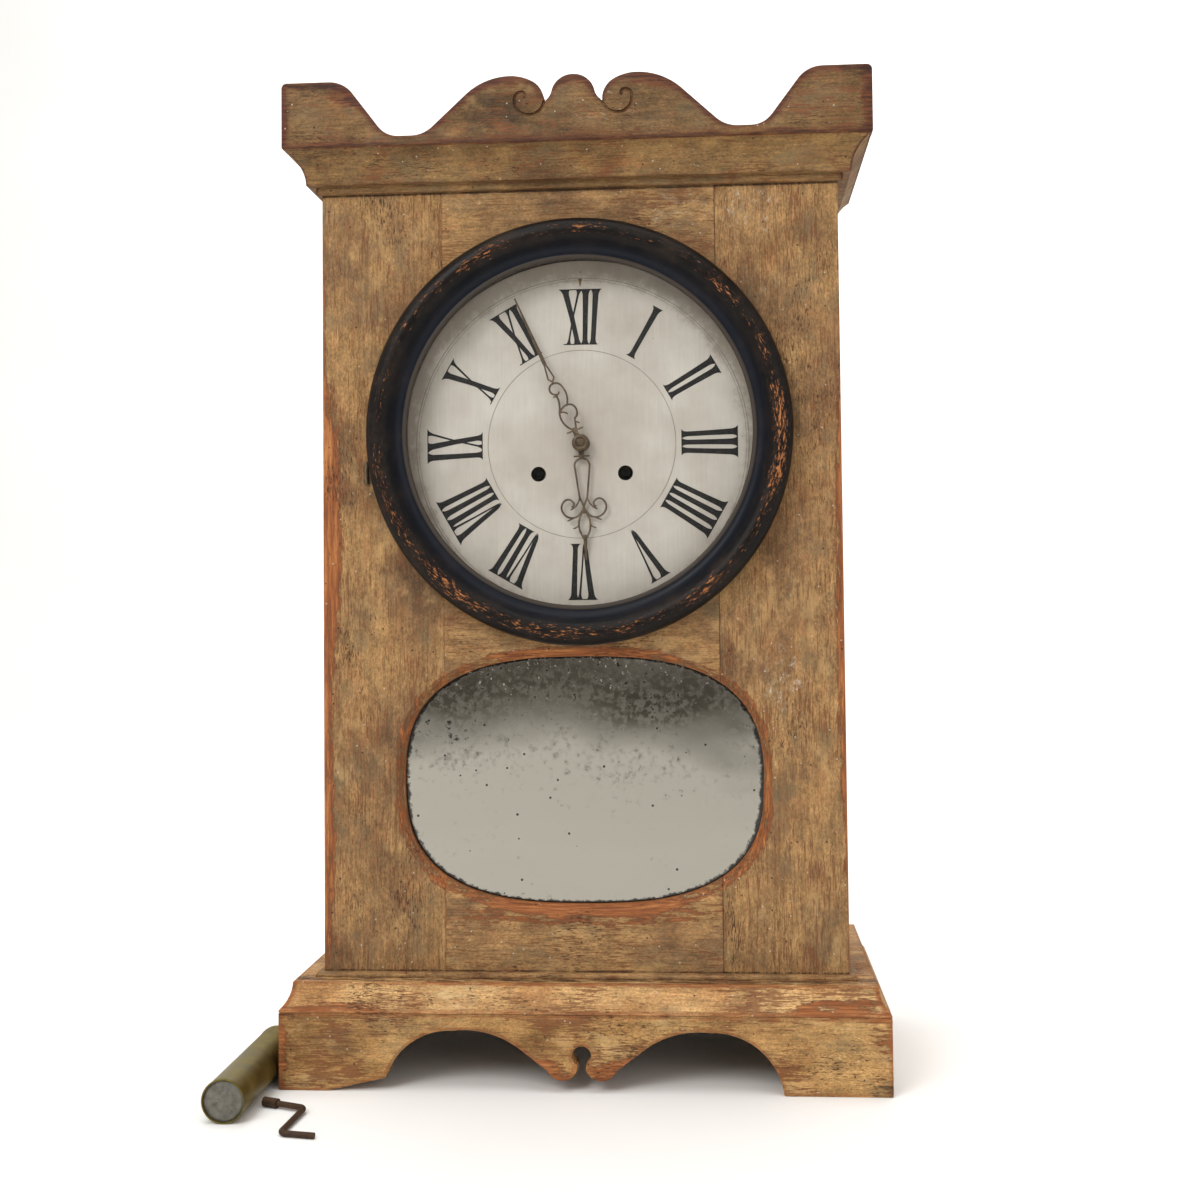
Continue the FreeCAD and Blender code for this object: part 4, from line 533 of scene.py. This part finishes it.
# grey with brown bloom
oldSteel = agedMetal("old clock steel", [(0.3, "#5C5A57"), (0.6, "#7C7A77"), (0.8, "#6A5C50")],
                     dict(metalLook, roughness=0.42, cloud=18, pit=1.2))
# green-brown and patchy, with a soft long highlight
weightBrass = agedMetal("dull brass weight shell",
                        [(0.28, "#4A4122"), (0.5, "#70632F"), (0.66, "#837542"), (0.8, "#5A4A2A")],
                        dict(metalLook, metallic=0.8, roughness=0.5, cloud=22, pit=1.4, pitDepth=0.0002))
# pale grey, lumpy and without shine
castLead = agedMetal("rough cast lead", [(0.3, "#4C4A44"), (0.5, "#6E6B62"), (0.7, "#858177")],
                     dict(metalLook, metallic=0.35, roughness=0.75, cloud=7, pit=1.6, pitDepth=0.0008))
# dark red-brown, matt and pitted
rustIron = agedMetal("rusted wrought iron", [(0.3, "#2A1B15"), (0.5, "#45301F"), (0.7, "#5A3A28")],
                     dict(metalLook, metallic=0.45, roughness=0.68, cloud=6, pit=0.9, pitDepth=0.0003))
# brass, with the dark steel winding square painted near black as the shade in its hole
barrelMetal = agedMetal("brass barrel on a dark steel arbor with painted hole shade", brassStops, dict(metalLook, holeShadeAhead=-0.052))
# straw-coloured and matt
gutLine = agedMetal("twisted gut line", [(0.3, "#7A6340"), (0.6, "#A1855A"), (0.8, "#8A7048")],
                    dict(metalLook, metallic=0.0, roughness=0.6, cloud=3, pit=0.8, pitDepth=0.0002))
print("metals and glass mixed")


def useMaterial(obj, material):
    obj.data.materials.clear()
    obj.data.materials.append(material)


def vertsOf(geom):
    return [g for g in geom if isinstance(g, bmesh.types.BMVert)]


# Corners of a node's box and the middle of its front face
def boxOf(node):
    low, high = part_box(node)
    return low, high, Vector(((low.x + high.x) / 2, low.y, (low.z + high.z) / 2))


def newObject(name, bm, material, smooth):
    for face in bm.faces:
        face.smooth = smooth
    mesh = bpy.data.meshes.new(name)
    bm.to_mesh(mesh)
    bm.free()
    made = bpy.data.objects.new(name, mesh)
    bpy.context.scene.collection.objects.link(made)
    useMaterial(made, material)
    return made


# Ends a bmesh as a piece that rides on a body, smooth up to the sharp angle where one is given
def newPiece(name, bm, material, body, sharpAngle=None):
    piece = newObject(name, bm, material, sharpAngle is not None)
    if sharpAngle is not None:
        piece.data.set_sharp_from_angle(angle=math.radians(sharpAngle))
    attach(piece, body)
    return piece


# Spins a profile of radius and Y pairs about the Y axis
def spinProfile(bm, points, steps, closed):
    line = [bm.verts.new((radius, y, 0)) for radius, y in points]
    ends = line[1:] + line[:1] if closed else line[1:]
    edges = [bm.edges.new(pair) for pair in zip(line, ends)]
    bmesh.ops.spin(bm, geom=line + edges, axis=(0, 1, 0), cent=(0, 0, 0), steps=steps, angle=2 * math.pi,
                   use_merge=True)
    bmesh.ops.remove_doubles(bm, verts=bm.verts, dist=0.00001)
    bmesh.ops.recalc_face_normals(bm, faces=bm.faces)


easing = {"join": 0.00002, "flatAngle": 0.6, "sharpAngle": 32, "smoothAngle": 24}


# A CAD node's copy with its edges eased: loose triangles joined, flat faces made whole, then bevelled
def easedCopy(node, material, ease, segments):
    bm = bmesh.new()
    bm.from_mesh(nodes[node].data)
    bmesh.ops.remove_doubles(bm, verts=bm.verts, dist=easing["join"])
    bmesh.ops.dissolve_limit(bm, angle_limit=math.radians(easing["flatAngle"]), verts=bm.verts, edges=bm.edges)
    sharp = [e for e in bm.edges if e.is_manifold and e.calc_face_angle(0.0) > math.radians(easing["sharpAngle"])]
    bmesh.ops.bevel(bm, geom=sharp, offset=ease, offset_type="OFFSET", affect="EDGES", segments=segments,
                    profile=0.5, material=-1, clamp_overlap=True)
    piece = newPiece(node + "_eased", bm, material, bodyOf[node], easing["smoothAngle"])
    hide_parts(node)


# material, easing in metres and bevel segments of the wooden pieces and of what stands on the hand arbor
easedPieces = [
    (stilePaint, 0.0008, 2, ["stile_left", "stile_right"]),
    (railPaint, 0.0007, 2, ["rail_top", "rail_middle", "rail_bottom"]),
    (sidePaint, 0.0010, 2, ["side_left", "side_right"]),
    (cornicePaint, 0.0010, 3, ["cornice_front", "cornice_left", "cornice_right"]),
    (crestPaint, 0.0018, 3, ["crest_board"]),
    (stripPaint, 0.0006, 2, ["base_strip"]),
    (mouldingPaint, 0.0010, 3, ["base_moulding_front", "base_moulding_left", "base_moulding_right"]),
    (plinthPaint, 0.0016, 3, ["plinth_front", "plinth_left", "plinth_right"]),
    (shadeDarkPine, 0.0008, 2, ["plinth_back"]),
    (crossPine, 0.0006, 2, ["top_board"]),
    (shadeDarkPine, 0.0006, 2, ["bottom_board"]),
    (backPine, 0.0006, 2, ["back_board"]),
    (crossPine, 0.0010, 2, ["glue_blocks"]),
    (crossPine, 0.0005, 2, ["mirror_backboard"]),
    (crossPine, 0.0008, 2, ["seat_board"]),
    (backPine, 0.0008, 2, ["seat_cheeks"]),
    (handBrass, 0.00025, 2, ["minute_hand", "hour_hand"]),
    (handBrass, 0.0004, 3, ["hand_nut"]),
]
for material, ease, segments, names in easedPieces:
    for node in names:
        easedCopy(node, material, ease, segments)
print("wood and hands eased")

# Face of the hand nut: a raised ring and the squared end of the arbor
nutShape = {"ringRadius": 0.0058, "ringHalf": 0.0009, "square": 0.0019, "proud": 0.0005, "steps": 48}
bm = bmesh.new()
arc = [math.radians(20 * i) for i in range(10)]
spinProfile(bm, [(nutShape["ringRadius"] + nutShape["ringHalf"] * math.cos(a), -nutShape["proud"] * math.sin(a))
                 for a in arc], nutShape["steps"], True)
half = nutShape["square"]
corners = ((-half, -half), (half, -half), (half, half), (-half, half))
square = bm.faces.new([bm.verts.new((x, 0, z)) for x, z in corners])
raised = bmesh.ops.extrude_face_region(bm, geom=[square])["geom"]
bmesh.ops.translate(bm, verts=vertsOf(raised), vec=(0, -nutShape["proud"], 0))
bmesh.ops.recalc_face_normals(bm, faces=bm.faces)
bmesh.ops.translate(bm, verts=bm.verts, vec=boxOf("hand_nut")[2])
newPiece("nut_face", bm, handBrass, "minute_hand", 40)

plainNodes = [
    (clearGlass, ["bezel_glass"]), (silvered, ["mirror_plate"]), (sheetPaint, ["dial"]), (ringPaint, ["glazing_ring"]),
    (handBrass, ["bezel_hinge_strap", "bezel_catch", "case_hinge_leaf"]), (holeShadePlate, ["front_plate"]),
    (movementBrass, ["back_plate", "pendulum_cock", "hour_wheel", "minute_wheel", "pendulum_bob"]),
    (barrelMetal, ["going_barrel", "strike_barrel"]), (bellBronze, ["bell"]), (weightBrass, ["going_weight"]),
    (oldSteel, ["hinge_pin", "centre_arbor", "cannon_pinion", "third_arbor", "escape_arbor", "anchor_and_crutch",
                "pendulum_rod", "hammer", "bell_post", "back_screws"]),
    (gutLine, ["going_line"]), (rustIron, ["winding_crank"]),
]
for material, names in plainNodes:
    for node in names:
        useMaterial(nodes[node], material)

# Turned ring of the round door, spun about the middle of the dial opening: a rebate for the glass, a bead at
# the sight edge (offsets out and forward), a hollow and a round
ringShape = {"steps": 192, "width": 0.039, "rebate": 0.0048, "round": 0.0125, "roundSteps": 14, "shoulder": 150,
             "dip": 0.0026, "hollowSteps": 8, "taper": 0.001,
             "bead": [(0.0, 0.0), (0.0, 0.0016), (0.0008, 0.0028), (0.0024, 0.0034), (0.0040, 0.0032),
                      (0.0050, 0.0026)]}


def spunRing():
    low, high, middle = boxOf("bezel_ring")
    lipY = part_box("bezel_glass")[0].y
    outer = (high.x - low.x) / 2
    sight = outer - ringShape["width"]
    rebate = sight + ringShape["rebate"]
    points = [(rebate, high.y), (rebate, lipY)]
    points += [(sight + out, lipY - forward) for out, forward in ringShape["bead"]]
    crestRadius, frontY = outer - ringShape["round"], low.y + ringShape["round"]
    shoulderTurn = math.radians(ringShape["shoulder"])
    roundPoints = []
    for i in range(ringShape["roundSteps"] + 1):
        turn = shoulderTurn * (1 - i / ringShape["roundSteps"])
        roundPoints.append((crestRadius + ringShape["round"] * math.cos(turn),
                            frontY - ringShape["round"] * math.sin(turn)))
    start, shoulder = Vector(points[-1]), Vector(roundPoints[0])
    for i in range(1, ringShape["hollowSteps"]):
        t = i / ringShape["hollowSteps"]
        radius, y = start.lerp(shoulder, t)
        points.append((radius, y + ringShape["dip"] * math.sin(math.pi * t)))
    points += roundPoints
    points.append((outer - ringShape["taper"], high.y))
    bm = bmesh.new()
    spinProfile(bm, points, ringShape["steps"], True)
    bmesh.ops.translate(bm, verts=bm.verts, vec=(middle.x, 0, middle.z))
    ring = newPiece("door_ring", bm, ringPaint, "round_door", 35)
    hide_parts("bezel_ring")


spunRing()
print("door ring spun")

# Dial painting: radial numerals with thick and thin strokes, thin rings and the noon mark. Strokes lie on each
# other in layers, so no two faces share a plane.
paintLayer = {"lift": 0.00005, "thick": 0.00012, "layerStep": 0.000008, "foot": 0.0995, "top": 0.1555,
              "narrow": 0.77, "heavy": 0.0057, "thin": 0.0019, "serif": 0.0010, "serifReach": 0.0030,
              "serifSlope": 0.0008, "pitch": 0.0103, "xWidth": 0.0150, "xGap": 0.006386, "vWidth": 0.0125,
              "vFeet": [(0.45, -1.1), (0.75, -0.3)], "vGap": 0.005665, "ringThick": 0.0001, "ringSteps": 160,
              "flare": [(0.0, 0.0022), (0.025, 0.0018), (0.05, 0.0009), (0.10, 0.0002), (0.5, 0.0), (0.90, 0.0002),
                        (0.95, 0.0009), (0.975, 0.0018), (1.0, 0.0022)],
              "rings": [(0.0940, 0.0006), (0.1640, 0.0004), (0.1665, 0.0007)],
              "noonMark": [(-0.0002, 0.1580), (0.0002, 0.1580), (0.0020, 0.1660), (-0.0020, 0.1660)]}
numerals = ["XII", "I", "II", "III", "IIII", "V", "VI", "VII", "VIII", "IX", "X", "XI"]
dialMiddle = boxOf("dial")[2]


def paintStroke(bm, corners, hour, layer):
    turn = Matrix.Rotation(math.radians(30 * hour), 4, "Y")
    y = -paintLayer["lift"] - layer * paintLayer["layerStep"]
    face = bm.faces.new([bm.verts.new(dialMiddle + turn @ Vector((u, y, v))) for u, v in corners])
    grown = bmesh.ops.extrude_face_region(bm, geom=[face])["geom"]
    bmesh.ops.translate(bm, verts=vertsOf(grown), vec=(0, -paintLayer["thick"], 0))


# outline of a stroke that narrows to the foot and flares into its serifs at both ends
def strokeOutline(topU, footU, width, footFlare):
    n = paintLayer["narrow"]
    left, right = [], []
    for t, grow in paintLayer["flare"]:
        share = n + (1 - n) * t
        u = (footU + (topU - footU) * t) * share
        half = (width / 2 + grow * (footFlare if t < 0.5 else 1.0)) * share
        v = paintLayer["foot"] + (paintLayer["top"] - paintLayer["foot"]) * t
        left.append((u - half, v))
        right.append((u + half, v))
    return right + left[::-1]


# each stroke: its middle at the top and at the foot, its width and the flare of its foot, which is drawn in on a V
def paintNumeral(bm, text, hour):
    heavy, thin = paintLayer["heavy"], paintLayer["thin"]
    strokes = []
    feet = []
    x = 0.0
    for letter in text:
        start = x + heavy / 2
        if letter == "I":
            strokes.append((start, start, heavy, 1.0))
            feet.append((x, x + heavy))
            x += paintLayer["pitch"]
        elif letter == "X":
            w = paintLayer["xWidth"]
            strokes.append((start, x + w, heavy, 1.0))
            strokes.append((start + w, start, thin, 1.0))
            feet.append((x, start + w))
            x += w + paintLayer["xGap"]
        else:
            w = paintLayer["vWidth"]
            for top, width, (meet, flare) in zip((start, start + w), (heavy, thin), paintLayer["vFeet"]):
                strokes.append((top, x + w / 2 + heavy * meet, width, flare))
            x += w + paintLayer["vGap"]
    width = max(max(s[0], s[1]) + s[2] / 2 for s in strokes)
    middle = width / 2
    for layer, (topU, footU, w, footFlare) in enumerate(strokes):
        paintStroke(bm, strokeOutline(topU - middle, footU - middle, w, footFlare), hour, layer)
    reach, serif, slope = paintLayer["serifReach"], paintLayer["serif"], paintLayer["serifSlope"]
    top, foot, n = paintLayer["top"], paintLayer["foot"], paintLayer["narrow"]
    left, right = -middle - reach, width - middle + reach
    bar = [(left + slope, top - serif), (right - slope, top - serif), (right, top), (left, top)]
    paintStroke(bm, bar, hour, len(strokes))
    if feet:
        left, right = (feet[0][0] - middle) * n - reach, (feet[-1][1] - middle) * n + reach
        bar = [(left, foot), (right, foot), (right - slope, foot + serif), (left + slope, foot + serif)]
        paintStroke(bm, bar, hour, len(strokes) + 1)


bm = bmesh.new()
for hour, text in enumerate(numerals):
    paintNumeral(bm, text, hour)
bmesh.ops.recalc_face_normals(bm, faces=bm.faces)
newPiece("dial_numerals", bm, numeralInk, "case")

bm = bmesh.new()
ringBack, ringFront = -paintLayer["lift"], -paintLayer["lift"] - paintLayer["ringThick"]
for radius, width in paintLayer["rings"]:
    near, far = radius - width / 2, radius + width / 2
    spinProfile(bm, [(near, ringBack), (far, ringBack), (far, ringFront), (near, ringFront)],
                paintLayer["ringSteps"], True)
bmesh.ops.translate(bm, verts=bm.verts, vec=dialMiddle)
newPiece("dial_rings", bm, ringInk, "case")

bm = bmesh.new()
paintStroke(bm, paintLayer["noonMark"], 0, 2)
bmesh.ops.recalc_face_normals(bm, faces=bm.faces)
newPiece("noon_mark", bm, markInk, "case")
print("dial painted")

# Loose driving weight: brass tube with a rolled rim, filled with lead that shows rough at its foot. The rims are
# given as inset and rise, the stem as radius and rise.
weightShape = {"steps": 64, "length": 0.170, "wall": 0.0013, "recess": 0.004,
               "footRim": [(0.0013, 0.004), (0.0013, 0.0004), (0.0009, 0.0), (0.0004, 0.0), (0.0, 0.0006),
                           (0.0, 0.003), (0.0004, 0.0042)],
               "topRim": [(0.0004, -0.006), (0.0, -0.005), (0.0, -0.0015), (0.0012, 0.0)],
               "stemFoot": [(0.0045, 0.0008), (0.0040, 0.002)],
               "stemTip": [(0.0040, -0.0006), (0.0034, 0.0), (0.0, 0.0)],
               "leadSteps": 48, "leadCuts": 5, "leadFit": 0.0002, "sunk": 0.0015, "bulge": 0.0012, "lump": 0.0008,
               "waves": (700, 620, 300)}


def looseWeight():
    low, high, middle = boxOf("strike_weight")
    radius = (high.x - low.x) / 2
    foot, end, tip = low.y, low.y + weightShape["length"], high.y
    rim = radius - weightShape["wall"]
    points = [(0.0, foot + weightShape["recess"])]
    points += [(radius - inset, foot + rise) for inset, rise in weightShape["footRim"]]
    points += [(radius - inset, end + rise) for inset, rise in weightShape["topRim"]]
    points += [(stem, end + rise) for stem, rise in weightShape["stemFoot"]]
    points += [(stem, tip + rise) for stem, rise in weightShape["stemTip"]]
    bm = bmesh.new()
    spinProfile(bm, points, weightShape["steps"], False)
    bmesh.ops.translate(bm, verts=bm.verts, vec=(middle.x, 0, middle.z))
    shellPiece = newPiece("weight_shell", bm, weightBrass, "strike_weight", 40)
    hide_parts("strike_weight")

    bm = bmesh.new()
    bmesh.ops.create_circle(bm, cap_ends=True, cap_tris=True, segments=weightShape["leadSteps"],
                            radius=rim + weightShape["leadFit"], matrix=Matrix.Rotation(math.radians(90), 4, "X"))
    bmesh.ops.subdivide_edges(bm, edges=bm.edges, cuts=weightShape["leadCuts"], use_grid_fill=True)
    waveX, waveZ, skew = weightShape["waves"]
    for vert in bm.verts:
        out = Vector((vert.co.x, vert.co.z)).length / rim
        lump = weightShape["lump"] * math.sin(vert.co.x * waveX + 1.3) * math.cos(vert.co.z * waveZ + vert.co.x * skew)
        vert.co.y = -weightShape["bulge"] * (1 - out * out) + lump * (1 - out ** 4)
    back = bmesh.ops.extrude_face_region(bm, geom=bm.faces[:], use_keep_orig=True)["geom"]
    for vert in vertsOf(back):
        vert.co.y = weightShape["bulge"]
    bmesh.ops.recalc_face_normals(bm, faces=bm.faces)
    bmesh.ops.translate(bm, verts=bm.verts, vec=middle)
    bmesh.ops.translate(bm, verts=bm.verts, vec=(0, weightShape["sunk"] + weightShape["bulge"], 0))
    newPiece("weight_lead", bm, castLead, "strike_weight", 180)


looseWeight()
print("loose weight turned")


# A sheet of the studio: a profile of Y and Z pairs, drawn out across X
def sweptSheet(name, profile, half, material):
    bm = bmesh.new()
    line = [bm.verts.new((-half, y, z)) for y, z in profile]
    edges = [bm.edges.new(pair) for pair in zip(line, line[1:])]
    swept = bmesh.ops.extrude_edge_only(bm, edges=edges)["geom"]
    bmesh.ops.translate(bm, verts=vertsOf(swept), vec=(2 * half, 0, 0))
    bmesh.ops.recalc_face_normals(bm, faces=bm.faces)
    return newObject(name, bm, material, True)


# Y and Z pairs of a quarter turn that leaves the floor level and ends upright
def quarterTurn(startY, run, startZ, rise, steps):
    turns = [math.radians(90 * i / steps) for i in range(steps + 1)]
    return [(startY + run * math.sin(t), startZ + rise * (1 - math.cos(t))) for t in turns]


# Studio: pale floor and back wall in one sweep, soft lights, camera where the photograph was taken
studio = {"half": 7.0, "frontY": -5.0, "wallY": 3.2, "wallTop": 4.0, "bend": 0.8, "bendSteps": 8}
paperSheet, tree, place = newMaterial("matt studio paper")  # near white, so the case stands clear of it
fibre = addNode(tree, "TexNoise", {}, {"Vector": place, "Scale": perMetre(400), "Detail": 3.0})
paper = addNode(tree, "ValToRGB", {"stops": [(0.3, "#F1F0EE"), (0.7, "#F6F5F3")]}, {"Fac": fibre})
closeMaterial(paperSheet, {"Base Color": paper, "Roughness": 0.9, "Specular IOR Level": 0.1})
bendY = studio["wallY"] - studio["bend"]
profile = [(studio["frontY"], 0.0)] + quarterTurn(bendY, studio["bend"], 0.0, studio["bend"], studio["bendSteps"])
profile.append((studio["wallY"], studio["wallTop"]))
sweep = sweptSheet("studio_sweep", profile, studio["half"], paperSheet)

# grey sweep behind the camera, which the looking glass and the black ring reflect as a soft dark room
cardShape = {"half": 2.6, "startY": -1.75, "startZ": 0.001, "rise": 1.3, "run": 1.7, "steps": 16}
greySheet, tree, place = newMaterial("grey studio card")  # pale at its foot, dark above
fibre = addNode(tree, "TexNoise", {}, {"Vector": place, "Scale": perMetre(420), "Detail": 2.0})
rise = addNode(tree, "SeparateXYZ", {"out": "Z"}, {"Vector": place})
rise = addNode(tree, "MapRange", {}, {
    "Value": rise, "From Min": 0.0, "From Max": 0.20, "To Min": 0.62, "To Max": -0.08})
shade = addNode(tree, "Math", "ADD", {0: fibre, 1: rise})
cardStops = [(0.15, "#2E2C2A"), (0.5, "#6A6660"), (0.9, "#F3F2F0")]
cardTone = addNode(tree, "ValToRGB", {"stops": cardStops}, {"Fac": shade})
closeMaterial(greySheet, {"Base Color": cardTone, "Roughness": 0.9, "Specular IOR Level": 0.1})
profile = quarterTurn(cardShape["startY"], -cardShape["run"], cardShape["startZ"], cardShape["rise"],
                      cardShape["steps"])
greyCard = sweptSheet("studio_card", profile, cardShape["half"], greySheet)
greyCard.visible_camera = False
greyCard.visible_diffuse = False
greyCard.visible_shadow = False

lights = {
    "key": {"at": (-1.3, -2.4, 2.3), "aim": (0.0, 0.0, 0.5), "size": 1.4, "power": 48.0},
    "fill": {"at": (1.9, -2.6, 1.3), "aim": (0.0, 0.0, 0.45), "size": 2.2, "power": 16.0},
    "top": {"at": (0.0, -0.2, 3.0), "aim": (0.0, 0.3, 0.3), "size": 2.4, "power": 40.0},
    "wall": {"at": (0.0, 0.9, 2.9), "aim": (0.0, 3.2, 0.8), "size": 2.6, "power": 60.0},
}
for name, light in lights.items():
    lamp = bpy.data.lights.new(name, "AREA")
    lamp.energy = light["power"]
    lamp.size = light["size"]
    holder = bpy.data.objects.new(name, lamp)
    holder.location = light["at"]
    aim = Vector(light["aim"]) - Vector(light["at"])
    holder.rotation_euler = aim.to_track_quat("-Z", "Y").to_euler()
    bpy.context.scene.collection.objects.link(holder)
world = bpy.data.worlds.new("studio air")
world.use_nodes = True
air = {"Color": hexColour("#F4F2EE"), "Strength": 0.59}
for name, value in air.items():
    world.node_tree.nodes["Background"].inputs[name].default_value = value
bpy.context.scene.world = world
bpy.context.scene.view_settings.view_transform = "Standard"

view = {"at": (0.1369, -1.5617, 0.4695), "yaw": 0.0696, "pitch": 0.0361, "roll": -0.0103, "lens": 45.0,
        "shift": (-0.0133, -0.0496)}
camera = bpy.data.cameras.new("photograph_view")
camera.sensor_width = 36.0
camera.lens = view["lens"]
camera.shift_x, camera.shift_y = view["shift"]
camera.clip_end = 50.0
cameraHolder = bpy.data.objects.new("photograph_view", camera)
turned = Matrix.Rotation(view["yaw"], 4, "Z") @ Matrix.Rotation(math.radians(90) + view["pitch"], 4, "X")
turned = turned @ Matrix.Rotation(view["roll"], 4, "Z")
cameraHolder.matrix_world = Matrix.Translation(view["at"]) @ turned
bpy.context.scene.collection.objects.link(cameraHolder)
bpy.context.scene.camera = cameraHolder
print("studio lit, camera set")
